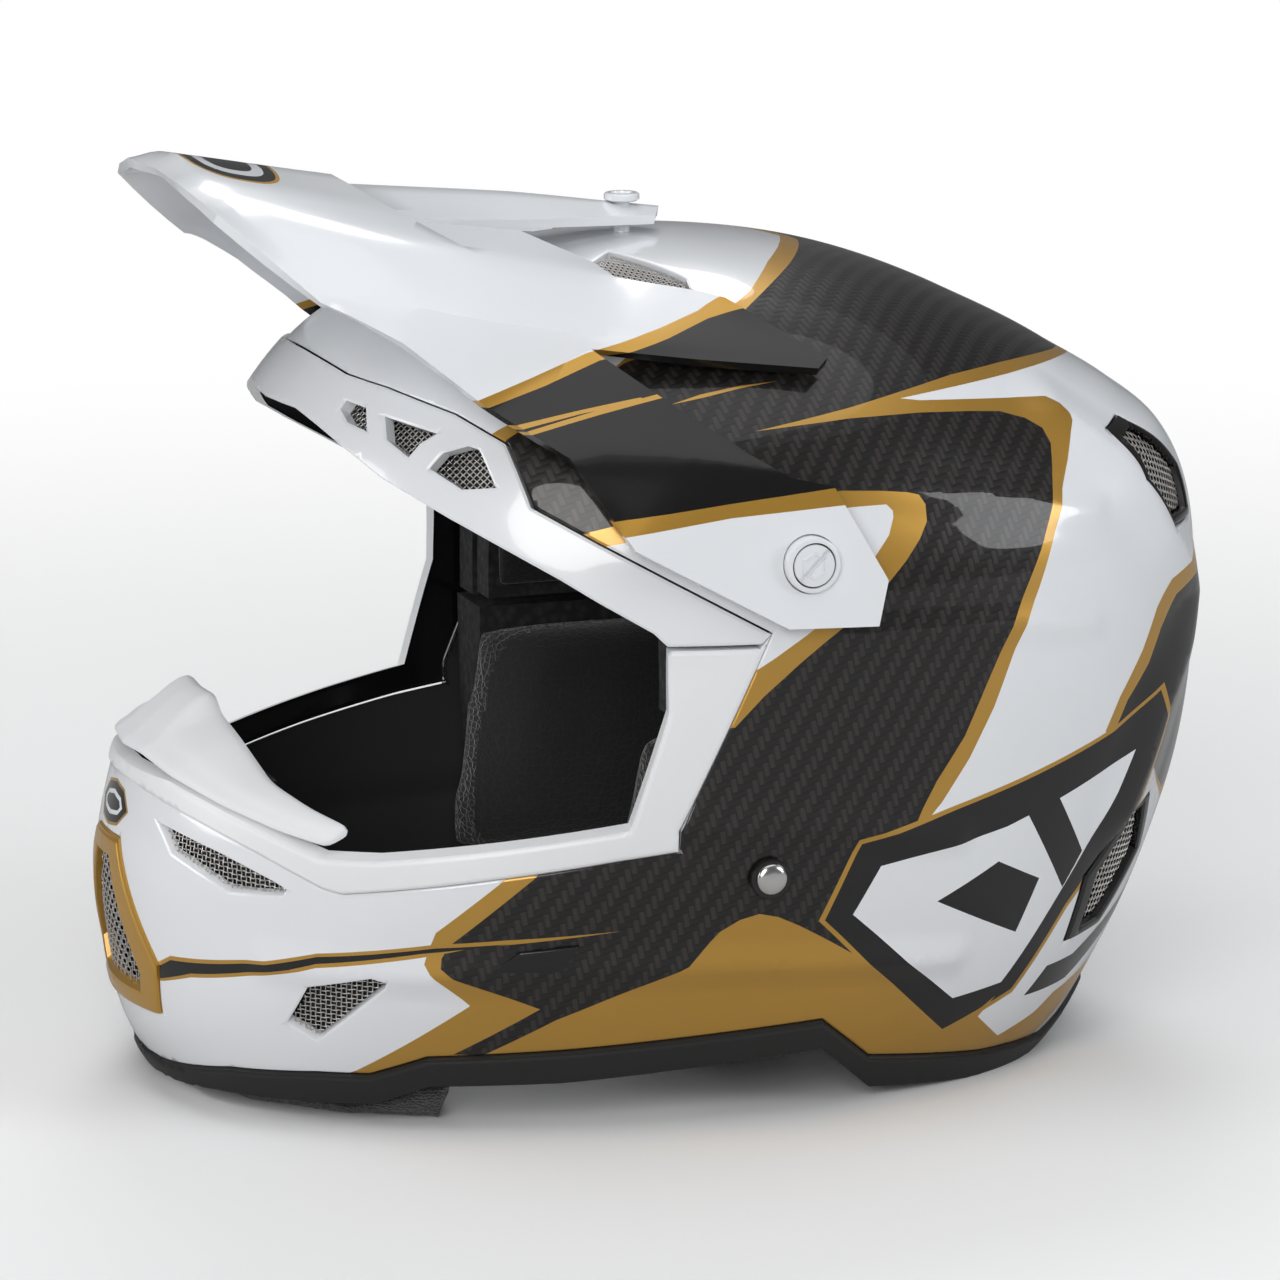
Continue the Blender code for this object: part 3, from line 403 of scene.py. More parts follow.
def buildKnit():  # small six-sided cells with a raised rim, for lining cloth and air mesh
    group, start, end = newGroup("cellKnit", {"Scale": 300.0, "Rim": 0.12}, ["Height", "Hole"])
    cells = group.nodes.new("ShaderNodeTexVoronoi")
    cells.feature = "DISTANCE_TO_EDGE"
    cells.inputs["Randomness"].default_value = 0.7
    group.links.new(start.outputs["Vector"], cells.inputs["Vector"])
    group.links.new(start.outputs["Scale"], cells.inputs["Scale"])
    hole = addMath(group, "DIVIDE", cells.outputs["Distance"], start.outputs["Rim"], clamp=True)
    group.links.new(addMath(group, "SUBTRACT", 1.0, hole), end.inputs["Height"])
    group.links.new(hole, end.inputs["Hole"])
    return group


grainGroup, twillGroup, knitGroup = buildGrain(), buildTwill(), buildKnit()


def useGroup(tree, group, vector, **values):
    node = tree.nodes.new("ShaderNodeGroup")
    node.node_tree = group
    tree.links.new(vector, node.inputs["Vector"])
    setInputs(node, values)
    return node


def objectPlace(tree):
    return tree.nodes.new("ShaderNodeTexCoord").outputs["Object"]


def clothPlace(tree):  # the piece's own pattern sheet, in metres
    node = tree.nodes.new("ShaderNodeUVMap")
    node.uv_map = "cloth"
    return node.outputs[0]


def addBump(tree, shader, height, strength, distance):
    bump = tree.nodes.new("ShaderNodeBump")
    setInputs(bump, {"Strength": strength, "Distance": distance})
    tree.links.new(height, bump.inputs["Height"])
    tree.links.new(bump.outputs[0], shader.inputs["Normal"])


def toneFinish(tree, shader, grain, colour, shade, rough, spread):
    # the grain's slow tone moves both the colour and the gloss a little
    tone = grain.outputs["Tone"]
    feed(tree, shader.inputs["Base Color"], addMix(tree, tone, darker(colour, shade), colour))
    feed(tree, shader.inputs["Roughness"], addMath(tree, "MULTIPLY_ADD", tone, spread, rough - spread / 2))


def paintedFinish(name, colour, rough, metallic=0.0, coat=0.0, fine=900.0, bump=0.02, spread=0.06):
    made, tree, shader = newMaterial(name)
    grain = useGroup(tree, grainGroup, objectPlace(tree), Fine=fine, Broad=16.0)
    toneFinish(tree, shader, grain, colour, 0.94, rough, spread)
    setInputs(shader, {"Metallic": metallic, "Coat Weight": coat, "Coat Roughness": 0.04})
    addBump(tree, shader, grain.outputs["Height"], bump, 0.0004)
    return made


def metalFinish(name, colour, rough):
    made, tree, shader = newMaterial(name)
    grain = useGroup(tree, grainGroup, objectPlace(tree), Fine=1500.0, Broad=120.0)
    toneFinish(tree, shader, grain, colour, 0.8, rough, 0.2)
    setInputs(shader, {"Metallic": 1.0})
    addBump(tree, shader, grain.outputs["Height"], 0.05, 0.0002)
    return made


carbonForm = {
    "turn": 78.0, "tow": 0.0021,  # degrees and metres
    "deep": (0.006, 0.0055, 0.0055), "bright": (0.068, 0.059, 0.055),
    "crosswise": 0.3, "lengthwise": 0.7,  # how much light the two ways of the weave catch
}


def carbonFinish():
    made, tree, shader = newMaterial("carbonClear")
    turned = tree.nodes.new("ShaderNodeMapping")
    turned.inputs["Rotation"].default_value = (0, 0, math.radians(carbonForm["turn"]))
    tree.links.new(clothPlace(tree), turned.inputs["Vector"])
    twill = useGroup(tree, twillGroup, turned.outputs[0], Tow=carbonForm["tow"])
    # the base colour carries a painted sheen: lengthwise tows and tow crowns are painted lighter, crosswise
    # tows and the hollows between tows darker
    towLight = addMath(tree, "MULTIPLY_ADD", twill.outputs["Lengthwise"], carbonForm["lengthwise"],
                       carbonForm["crosswise"])
    light = addProduct(tree, twill.outputs["Sheen"], towLight)
    colour = addMix(tree, light, carbonForm["deep"], carbonForm["bright"])
    tree.links.new(colour, shader.inputs["Base Color"])
    setInputs(shader, {"Metallic": 0.35, "Roughness": 0.42, "Coat Weight": 0.6, "Coat Roughness": 0.03,
                       "Specular IOR Level": 0.3})
    addBump(tree, shader, twill.outputs["Height"], 0.25, 0.0002)
    return made


def clothFinish(name, colour, scale, rim, bump=0.6, depth=0.0006):
    made, tree, shader = newMaterial(name)
    place = objectPlace(tree)
    knit = useGroup(tree, knitGroup, place, Scale=scale, Rim=rim)
    grain = useGroup(tree, grainGroup, place, Fine=2600.0, Broad=40.0)
    # the knit's cell hollows are painted darker than their raised rims: painted shade inside the cells
    shadedHollows = addMix(tree, knit.outputs["Hole"], colour, darker(colour, 0.55))
    worn = tuple(min(1.0, c * 1.5 + 0.004) for c in colour)
    share = addProduct(tree, grain.outputs["Tone"], 0.45)
    tree.links.new(addMix(tree, share, shadedHollows, worn), shader.inputs["Base Color"])
    setInputs(shader, {"Roughness": 0.92, "Sheen Weight": 0.4})
    height = addMath(tree, "ADD", knit.outputs["Height"], addProduct(tree, grain.outputs["Height"], 0.35))
    addBump(tree, shader, height, bump, depth)
    return made


def webFinish(name, colour, pitch=0.0016):
    made, tree, shader = newMaterial(name)
    height = useGroup(tree, twillGroup, clothPlace(tree), Tow=pitch).outputs["Height"]
    # the threads are painted darker in the hollows between their crowns and lighter on them: painted shade
    # in the weave
    tree.links.new(addMix(tree, height, darker(colour, 0.35), colour), shader.inputs["Base Color"])
    setInputs(shader, {"Roughness": 0.85, "Sheen Weight": 0.3})
    addBump(tree, shader, height, 0.8, 0.0005)
    return made


def foamFinish(name, colour):
    made, tree, shader = newMaterial(name)
    cells = tree.nodes.new("ShaderNodeTexVoronoi")
    cells.inputs["Scale"].default_value = 330.0
    tree.links.new(objectPlace(tree), cells.inputs["Vector"])
    bead = addMath(tree, "MULTIPLY", cells.outputs["Distance"], 1.4, clamp=True)
    # each bead is painted darker towards its edge, where it dips: painted shade between the rounded beads
    tree.links.new(addMix(tree, bead, colour, darker(colour, 0.4)), shader.inputs["Base Color"])
    shader.inputs["Roughness"].default_value = 0.8
    addBump(tree, shader, addMath(tree, "SUBTRACT", 1.0, bead), 0.5, 0.0006)
    return made


white = (0.83, 0.85, 0.88)
gold = (0.56, 0.31, 0.052)
whitePaint = paintedFinish("whitePaint", white, 0.22, coat=0.6)
goldPaint = paintedFinish("goldPaint", gold, 0.34, metallic=0.55, coat=0.5, fine=3200.0, bump=0.06)
blackPaint = paintedFinish("blackPaint", (0.006, 0.0055, 0.0055), 0.2, coat=0.3)
trimWhite = paintedFinish("trimWhite", (0.85, 0.86, 0.88), 0.42, coat=0.1, fine=1800.0, bump=0.05)
guardRubber = paintedFinish("guardRubber", (0.83, 0.84, 0.86), 0.55, fine=2600.0, bump=0.1)
edgeRubber = paintedFinish("edgeRubber", (0.014, 0.014, 0.014), 0.46, fine=2200.0, bump=0.12, spread=0.12)
insideGrey = paintedFinish("insideGrey", (0.02, 0.02, 0.021), 0.6)
carbonClear = carbonFinish()
liningCloth = clothFinish("liningCloth", (0.020, 0.019, 0.019), 420.0, 0.08, bump=0.3)
airMesh = clothFinish("airMesh", (0.030, 0.029, 0.029), 520.0, 0.16, bump=0.7, depth=0.0008)
chinTextile = clothFinish("chinTextile", (0.024, 0.024, 0.025), 900.0, 0.2, bump=0.6)
blackWeb = webFinish("blackWeb", (0.022, 0.022, 0.023))
redTape = webFinish("redTape", (0.36, 0.02, 0.02), 0.0011)
crushFoam = foamFinish("crushFoam", (0.045, 0.045, 0.048))
orangeRubber = paintedFinish("orangeRubber", (0.55, 0.10, 0.02), 0.5, fine=1600.0, bump=0.1)
wireSteel = metalFinish("wireSteel", (0.74, 0.71, 0.68), 0.3)
platedSteel = metalFinish("platedSteel", (0.74, 0.73, 0.72), 0.22)
print("materials made")


def objectFrom(name, points, faces, looks, faceLooks=None, normals=None, cloth=None, smooth=None):
    mesh = bpy.data.meshes.new(name)
    mesh.from_pydata([tuple(p) for p in points], [], [tuple(int(i) for i in f) for f in faces])
    for look in looks:
        mesh.materials.append(look)
    if faceLooks is not None:
        mesh.polygons.foreach_set("material_index", np.asarray(faceLooks, np.int32))
    mesh.polygons.foreach_set("use_smooth", np.ones(len(faces), bool) if smooth is None else smooth)
    if cloth is not None:
        layer = mesh.uv_layers.new(name="cloth")
        corner = np.zeros(len(mesh.loops), np.int32)
        mesh.loops.foreach_get("vertex_index", corner)
        layer.data.foreach_set("uv", cloth[corner].astype(np.float32).ravel())
    mesh.update()
    if normals is not None:
        mesh.normals_split_custom_set([tuple(n) for n in normals])
    made = bpy.data.objects.new(name, mesh)
    bpy.context.scene.collection.objects.link(made)
    return made


def facesOut(made, merge=0.0):
    work = bmesh.new()
    work.from_mesh(made.data)
    if merge:
        bmesh.ops.remove_doubles(work, verts=work.verts, dist=merge)
    bmesh.ops.recalc_face_normals(work, faces=work.faces)
    work.to_mesh(made.data)
    work.free()


def selectOnly(*pieces):
    bpy.ops.object.select_all(action="DESELECT")
    for piece in pieces:
        piece.select_set(True)
    bpy.context.view_layer.objects.active = pieces[0]


def modify(made, kind, **settings):  # adds a modifier and applies it
    selectOnly(made)
    modifier = made.modifiers.new(kind.lower(), kind)
    for name, value in settings.items():
        setattr(modifier, name, value)
    bpy.ops.object.modifier_apply(modifier=modifier.name)


def cutAway(made, tool):
    modify(made, "BOOLEAN", object=tool)
    bpy.data.objects.remove(tool, do_unlink=True)


def smoothUpTo(made, degrees):
    selectOnly(made)
    bpy.ops.object.shade_smooth_by_angle(angle=math.radians(degrees))


def ringFaces(rings, around, loop=False, first=0):
    # walls between rings of points laid one after another, with both ends closed unless the rings loop
    faces = []
    for r in range(rings if loop else rings - 1):
        here, there = first + r * around, first + (r + 1) % rings * around
        for i in range(around):
            j = (i + 1) % around
            faces.append((here + i, there + i, there + j, here + j))
    if not loop:
        last = first + (rings - 1) * around
        faces += [tuple(range(first, first + around)), tuple(range(last + around - 1, last - 1, -1))]
    return faces


def standFor(made, body, node):
    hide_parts(node)
    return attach(made, body)


def freeGrid(low, high, step):
    rows = np.arange(low[1], high[1], step * 0.866)
    made = []
    for k, b in enumerate(rows):
        a = np.arange(low[0] + (step / 2 if k % 2 else 0), high[0], step)
        made.append(np.stack([a, np.full(len(a), b)], -1))
    return np.concatenate(made)


def layPatch(lines, inside, outer, inner, step=3.0, rounding=(0.7, 0.5), paint=(), lift=None, guides=()):
    # cuts a skin on the sheet and lays it on the shell, outer and inner millimetres off it
    # lines: (points on the sheet, closed). inside: a test on x, y, z, a, b. paint: (look number, outline)
    edgeWidth, edgeDrop = rounding
    ringAngles = np.linspace(-math.pi, math.pi, int(1150 / step), endpoint=False)
    ring = sheetPoint(ringAngles, edgeRun(ringAngles))
    points, edges = [], []

    def addLine(line, closed):
        first, count = len(points), len(line)
        points.extend(line)
        edges.extend((first + i, first + (i + 1) % count) for i in range(count if closed else count - 1))

    addLine(ring, True)
    for line, closed in lines:
        addLine(line, closed)
    for guide in guides:
        addLine(guide, False)
    for _, outline in paint:
        addLine(np.array(dense(outline, 2.4)), True)
    fixed = np.array(points)
    beside = []
    for line, closed in lines:
        along = np.roll(line, -1, 0) - line
        along = along / (np.hypot(*along.T)[:, None] + 1e-9)
        across = np.stack([-along[:, 1], along[:, 0]], -1)
        for far in (-1.0, -0.4, 0.4, 1.0):
            beside.append(line[:-1] + across[:-1] * far * edgeWidth)
    shown = np.concatenate([line for line, _ in lines])
    low, high = shown.min(0) - 3 * step, shown.max(0) + 3 * step
    free = freeGrid(low, high, step)
    place = onShell(*free.T)
    near = inside(*place.T, *free.T)
    free = free[near]
    blocked = np.concatenate([fixed, *beside]) if beside else fixed
    keepFree = np.ones(len(free), bool)
    for start in range(0, len(free), 1024):
        part = free[start:start + 1024, None] - blocked[None]
        keepFree[start:start + 1024] = (part**2).sum(-1).min(1) > (0.42 * step) ** 2
    cloud = np.concatenate([fixed, free[keepFree], *beside])
    made = delaunay_2d_cdt([Vector(p) for p in cloud.tolist()], edges, [], 0, 0.01, False)
    flat = np.array([(v.x, v.y) for v in made[0]])
    faces = np.array([f for f in made[2] if len(f) == 3])
    middle = flat[faces].mean(1)
    kept = (sheetShare(*middle.T) < 1.0001) & inside(*onShell(*middle.T).T, *middle.T)
    faces, middle = faces[kept], middle[kept]
    used, faces = np.unique(faces, return_inverse=True)
    faces = faces.reshape(-1, 3)
    flat = flat[used]
    turned = np.cross(flat[faces[:, 1]] - flat[faces[:, 0]], flat[faces[:, 2]] - flat[faces[:, 0]])
    faces = np.where((turned < 0)[:, None], faces[:, ::-1], faces)
    ends = np.concatenate([faces[:, [0, 1]], faces[:, [1, 2]], faces[:, [2, 0]]])
    code = np.sort(ends, 1) @ np.array([len(flat), 1])
    _, where, count = np.unique(code, return_index=True, return_counts=True)
    rim = ends[where[count == 1]]
    middleLine = sheetShare(*flat.T) > 0.9997
    rim = rim[~(middleLine[rim[:, 0]] & middleLine[rim[:, 1]])]
    rimLines = flat[rim]

    def heightAt(a, b):
        height = np.full(len(a), float(outer))
        if lift is not None:
            height += lift(a, b)
        if edgeDrop:
            gap = distanceTo(rimLines, a, b, 99.0)
            share = np.clip(1 - gap / edgeWidth, 0, 1)
            height -= edgeDrop * (1 - np.sqrt(1 - share**2 * 0.995))
        return height

    a, b = flat.T
    top = onShell(a, b, heightAt(a, b))
    nudge = 0.14
    overA = onShell(a + nudge, b, heightAt(a + nudge, b)) - onShell(a - nudge, b, heightAt(a - nudge, b))
    overB = onShell(a, b + nudge, heightAt(a, b + nudge)) - onShell(a, b - nudge, heightAt(a, b - nudge))
    normal = np.cross(overA, overB)
    normal /= np.linalg.norm(normal, axis=1)[:, None] + 1e-12
    under = onShell(a, b, inner)
    top[middleLine, 0] = under[middleLine, 0] = 0.0
    normal[middleLine, 0] = 0.0
    look = np.zeros(len(faces), int)
    for number, outline in paint:
        look[within(outline, *middle.T)] = number
    return {"flat": flat, "faces": faces, "rim": rim, "top": top, "under": under, "normal": normal,
            "look": look, "middleLine": middleLine}


def patchSides(patch, sides, insideLook=0):
    # sides: 1 for the rider's left, -1 for the right; both sides share the points on the middle line
    count = len(patch["flat"])
    points, faces, looks, normals, cloth = [], [], [], [], []
    done = 0
    for side in sides:
        flip = np.array([side, 1.0, 1.0])
        top, under = placed(patch["top"] * flip), placed(patch["under"] * flip)
        points += [top, under]
        x, y, z = patch["top"].T
        cloth += [np.stack([y, girth(x, z)], -1) * mm] * 2
        skin, rim = (patch[k] if side > 0 else patch[k][:, ::-1] for k in ("faces", "rim"))
        corner = patch["normal"] * flip
        faces += list(skin + done) + list(skin[:, ::-1] + done + count)
        normals += list(corner[skin].reshape(-1, 3)) + list(-corner[skin[:, ::-1]].reshape(-1, 3))
        looks += list(patch["look"]) + [insideLook] * len(skin)
        i, j = rim.T
        walls = np.stack([j, i, i + count, j + count], -1)
        both = np.concatenate([top, under])
        face = np.cross(both[walls[:, 1]] - both[walls[:, 0]], both[walls[:, 2]] - both[walls[:, 0]])
        face /= np.linalg.norm(face, axis=1)[:, None] + 1e-15
        faces += list(walls + done)
        normals += list(np.repeat(face, 4, axis=0))
        looks += [0] * len(walls)
        done += 2 * count
    points = np.concatenate(points)
    cloth = np.concatenate(cloth)
    if len(sides) == 2:
        shared = np.where(patch["middleLine"])[0]
        swap = np.arange(len(points))
        swap[2 * count + shared] = shared
        swap[3 * count + shared] = shared + count
        used, place = np.unique(swap, return_inverse=True)
        faces = [place[np.asarray(f)] for f in faces]
        points, cloth = points[used], cloth[used]
    return points, faces, looks, np.array(normals), cloth


def makeSkin(name, looks, patch, sides=(1, -1), insideLook=0):
    points, faces, *rest = patchSides(patch, sides, insideLook)
    return objectFrom(name, points, faces, looks, *rest)


def sideLine(outline, closed=True, step=1.6):
    return fromSide(dense(outline, step, closed)), closed


# Livery outlines lie on the pattern sheet and are painted in this order over white:
# 0 is white, 1 gold, 2 carbon and 3 black
livery = [
    (1, [(96, 341), (76, 321), (35, 287), (15, 267), (7, 261), (-1, 256), (-26, 247), (-36, 241),
         (-45, 233), (-84, 212.5), (-92, 200), (-60, 150), (-60, 100), (-80, 77), (-100, 59),
         (-102, 53), (-103, 49), (-101, 46), (-89, 35), (-124, 6), (-135, -30), (100, -40),
         (97, -4), (70, 20), (52, 50), (39, 80), (46, 85), (54, 93), (63, 106), (71, 121),
         (78, 138), (87, 156), (94, 172), (100, 184), (106, 192), (111, 200), (114, 204),
         (114.5, 207), (113, 210), (109, 213), (98, 214), (77, 215), (57, 216), (50, 217.2),
         (76, 220), (103, 223), (150, 229), (215, 236), (215, 300), (110, 355)]),
    (2, [(101, 338), (82, 315), (46, 286), (25, 270), (11, 259), (4, 253), (-22, 243), (-40, 236),
         (-50, 229), (-79, 210.5), (-88, 200), (-55, 150), (-55, 100), (-71, 78), (-96, 55),
         (-98, 51), (-98, 48), (-94, 45), (-68, 34), (-93, 17), (-84, 17), (-63, 30), (-24, 48),
         (-15, 58), (-9, 61.5), (-3, 63), (3, 61.5), (10, 58), (27, 48), (45, 37), (60, 55),
         (45, 87), (52, 100), (61, 113), (68, 128), (76, 144), (82, 156), (88, 167), (96, 184),
         (100, 193), (102, 198), (101, 203), (96, 207), (87, 210), (75, 211), (55, 212), (30, 212),
         (13, 211), (-2, 210), (13, 212.5), (31, 215.5), (46, 218.5), (74, 224), (102, 227.5),
         (151, 232.5), (210, 240), (210, 300), (112, 350)]),
    (1, [(-27, 220.3), (-17, 223.3), (-4, 225.5), (9, 226.4), (-4, 224.6), (-17, 222)]),
    (1, [(-57, 181), (-48, 183), (-20, 187), (22, 190), (35, 189), (43, 188), (47, 187), (49, 184),
         (49, 179), (46, 174), (41, 168), (36, 163), (29, 156), (19, 149), (7, 140), (-4, 131),
         (-13, 122), (-30, 120), (-60, 150)]),
    (0, [(-51, 177), (-45, 178), (-20, 182), (25, 185), (31, 185), (36, 185), (38, 183), (38, 181),
         (36, 176), (31, 170), (26, 162), (18, 155), (10, 149), (-1, 142), (-8, 138), (-26, 132),
         (-60, 150)]),
    (1, [(-204, 8), (-194, 21), (-185, 30), (-135, 48), (-100, 55.2), (-79, 57.6), (-45, 60),
         (-88, 55), (-104, 50.8), (-135, 43.8), (-177, 26)]),
    (3, [(-203, 9.4), (-193, 20), (-185, 28.4), (-135, 47), (-100, 54), (-78, 56.4), (-104, 52),
         (-135, 45), (-177, 27.4)]),
    (1, [(184, 158), (150, 149), (141, 141), (133, 129), (122, 116), (116, 106), (140, 90),
         (165, 66), (330, 60), (330, 158)]),
    (3, [(184, 152), (154, 143), (144, 134), (137, 124), (126, 114), (121, 106), (140, 90),
         (162, 72), (330, 72), (330, 152)]),
    (1, [(16, 59), (27, 84.5), (50, 89.5), (84, 97.5), (120, 106.5), (145, 116), (149, 104),
         (138, 78), (108, 47.5), (90, 21.5), (65, 11)]),
    (3, [(18, 59), (28, 83), (50, 88), (84, 96), (120, 105), (143, 114), (147, 104), (136, 79),
         (107, 49), (89, 23), (65, 13)]),
    (0, [(35, 75), (27, 60), (66, 25), (84, 27), (124, 84), (131, 97), (110, 91), (78, 82)]),
    (3, [(55, 61), (86, 45), (93, 62), (76, 71)]),
    (3, [(86, 84.5), (98, 88), (111, 67), (104, 56)]),
    (3, [(96, 18), (104, 27), (118, 26), (140, 33), (163, 41), (330, 62), (330, 50), (163, 32),
         (140, 23), (118, 16)]),
    (1, [(83, 22), (78, 15), (90, 3), (105, 7.5), (113, 12.5), (141, 14), (152, 10), (100, -12),
         (70, -12), (64, 8)]),
]
chinMark = [(0, 90), (8, 88.5), (13, 83.5), (8, 79), (0, 77.8), (-8, 79), (-13, 83.5),
            (-8, 88.5)]  # front view


def marksOnChin():
    return [(number, [tuple(p) for p in fromEnd(grown(chinMark, amount), -1)])
            for number, amount in ((1, 0.9), (3, 0.0), (0, -2.3), (3, -3.6))]


livery += marksOnChin()
creases = [  # height, reach to each side, crest line on the pattern sheet
    (2.6, 20, [(112, 208), (130, 190), (149, 164), (170, 146), (174, 140), (167, 126), (148, 108),
               (131, 76)]),
    (0.7, 9, [(21, 192), (51, 187), (85, 182), (112, 176)]),
    (0.8, 9, [(22, 147), (55, 146), (82, 145), (108, 142)]),
    (1.3, 9, [(-30, 93), (2, 90), (31, 87), (60, 82)]),
    (1.6, 10, [(-150, 41), (-87, 46), (-20, 47), (30, 44), (62, 41)]),
]


def shellLift(a, b):
    height = np.zeros(len(a))
    for amount, wide, line in creases:
        ends = np.array([(line[i], line[i + 1]) for i in range(len(line) - 1)], float)
        share = np.clip(1 - distanceTo(ends, a, b, 99.0) / wide, 0, 1)
        height += amount * share**2 * (2 - share)
    return height


ventOutlines = {
    "crown": ("top", crownVent), "rearUpper": ("rear", rearUpperVent), "rearLower": ("rear", rearLowerVent),
    "upperChin": ("side", upperChinVent), "lowerChin": ("side", lowerChinVent),
    "grille": ("front", grilleHole),
}


def outlineLine(view, outline):
    points = dense(outline, 1.2)
    if view == "side":
        return fromSide(points), True
    if view == "top":
        return fromAbove(points), True
    return fromEnd(points, -1 if view == "front" else 1), True


def inOutline(view, outline, x, y, z):
    if view == "side":
        return within(outline, y, z) & (np.abs(x) > 12)
    if view == "top":
        return within(outline, np.abs(x), y) & (z > 195)
    if view == "front":
        return within(outline, x, z) & (y < -105)
    return within(outline, np.abs(x), z) & (y > 55)


def circleOutline(centre, radius, count=24):
    return [(centre[0] + radius * math.cos(2 * math.pi * i / count),
             centre[1] + radius * math.sin(2 * math.pi * i / count)) for i in range(count)]


faceOpening = grown(faceTop + trimOuter[1:], 0.4)
screwHole, rivetHole = circleOutline(pivot, 3.4), circleOutline(rivetPlace, 2.4)
throughVents = [(view, outline) for name, (view, outline) in ventOutlines.items() if name != "grille"]
throughVents.append(("front", grown(grilleRim, 0.4)))


def inShell(x, y, z, *_):
    kept = ~within(faceOpening, y, z) & (z > lineHeight(baseLine, y))
    for view, outline in throughVents:
        kept &= ~inOutline(view, outline, x, y, z)
    return kept & ~within(screwHole, y, z) & ~within(rivetHole, y, z)


shellLines = [sideLine(faceOpening), sideLine(baseLine, False), sideLine(screwHole), sideLine(rivetHole)]
shellLines += [outlineLine(view, outline) for view, outline in throughVents]
creaseGuides = [np.array(dense(line, 2.0, False)) for _, _, line in creases]
paints = [whitePaint, goldPaint, carbonClear, blackPaint, insideGrey]


shellPatch = layPatch(shellLines, inShell, 0.0, -shellForm["wall"], 2.8, (0.8, 0.5),
                      livery, shellLift, creaseGuides)
outerShell = standFor(makeSkin("outerShell", paints, shellPatch, insideLook=4), "helmet", "outer_shell")
print("outer shell", len(outerShell.data.polygons))

browOutline = grown(faceTop + browBottom, -0.2)
browLines = [sideLine(browOutline)] + [sideLine(vent, True, 1.0) for vent in browVents]


def inBrow(_, y, z, *__):
    kept = within(browOutline, y, z)
    for vent in browVents:
        kept &= ~within(vent, y, z)
    return kept


browPatch = layPatch(browLines, inBrow, 1.2, -3.6, 3.0, (1.0, 0.7))
standFor(makeSkin("browBand", [whitePaint, insideGrey], browPatch, insideLook=1), "helmet", "brow_band")

trimOutline = grown(trimOuter + trimInner, -0.2)
trimPatch = layPatch([sideLine(trimOutline)], lambda x, y, z, *_: within(trimOutline, y, z),
                     1.2, -4.6, 3.0, (1.6, 1.1))
standFor(makeSkin("eyeportTrim", [trimWhite, blackPaint], trimPatch, insideLook=1), "helmet", "eyeport_trim")

skirtTop = [(y, z - 0.4) for y, z in baseLine]
skirtPatch = layPatch(
    [sideLine(skirtTop, False), sideLine(skirtLine, False)],
    lambda x, y, z, *_: (z < lineHeight(skirtTop, y)) & (z > lineHeight(skirtLine, y)),
    1.6, -5.6, 3.0, (1.3, 0.9))
for side in ("top", "under"):
    skirtPatch[side][:, 2] = np.maximum(skirtPatch[side][:, 2], -5.0)
standFor(makeSkin("baseTrim", [edgeRubber], skirtPatch), "helmet", "base_trim")


def rimPatch(view, rim, hole, outer, step, rounding):  # a rim between two outlines, as deep as the shell
    return layPatch(
        [outlineLine(view, rim), outlineLine(view, hole)],
        lambda x, y, z, *_: inOutline(view, rim, x, y, z) & ~inOutline(view, hole, x, y, z),
        outer, -shellForm["wall"], step, rounding)


grillePatch = rimPatch("front", grilleRim, grilleHole, 1.2, 2.6, (1.2, 0.8))
standFor(makeSkin("grilleSurround", [goldPaint], grillePatch), "helmet", "grille_surround")
for name, nodeName in (("rearUpper", "rear_upper"), ("rearLower", "rear_lower")):
    vent = ventOutlines[name][1]
    patch = rimPatch("rear", grown(vent, -0.4), grown(vent, -3.4), 0.6, 2.4, (1.1, 0.7))
    for label, side in bothSides:
        frameRim = makeSkin(f"{name}Frame.{label}", [blackPaint], patch, (side,))
        standFor(frameRim, "helmet", f"{nodeName}_vent_frame_{label}")
badgePatch = layPatch([sideLine(badgeShape, True, 1.0)],
                      lambda x, y, z, *_: within(badgeShape, y, z) & (x > 0), 1.3, 0.4, 1.6, (0.5, 0.4))
for label, side in bothSides:
    badge = makeSkin(f"sideBadge.{label}", [blackPaint], badgePatch, (side,))
    standFor(badge, "helmet", f"side_badge_{label}")
print("trims")


def tubeMesh(paths, radius, around, closed=False):
    # round bars along paths of drawn points, all in one mesh
    points, faces = [], []
    turns = np.arange(around) * 2 * math.pi / around
    for path in paths:
        path = np.asarray(path, float)
        ahead = np.roll(path, -1, 0) - np.roll(path, 1, 0)
        if not closed:
            ahead[0], ahead[-1] = path[1] - path[0], path[-1] - path[-2]
        ahead /= np.linalg.norm(ahead, axis=1)[:, None] + 1e-12
        helper = np.array([0.0, 0.0, 1.0]) if abs(ahead[:, 2]).mean() < 0.8 else np.array([1.0, 0.0, 0.0])
        left = np.cross(ahead, helper)
        left /= np.linalg.norm(left, axis=1)[:, None] + 1e-12
        up = np.cross(left, ahead)
        rings = (path[:, None] + radius * (np.cos(turns)[None, :, None] * left[:, None]
                                           + np.sin(turns)[None, :, None] * up[:, None]))
        faces += ringFaces(len(path), around, closed, sum(len(p) for p in points))
        points.append(rings.reshape(-1, 3))
    return np.concatenate(points), faces


def placedTube(*form):
    points, faces = tubeMesh(*form)
    return placed(points), faces


wireWork = {"pitch": 1.6, "wire": 0.19, "wave": 0.19, "depth": -1.8,  # millimetres
            "front": 1.4, "frontMiddle": 49, "ventInset": -0.3}  # the grille is woven coarser, by this


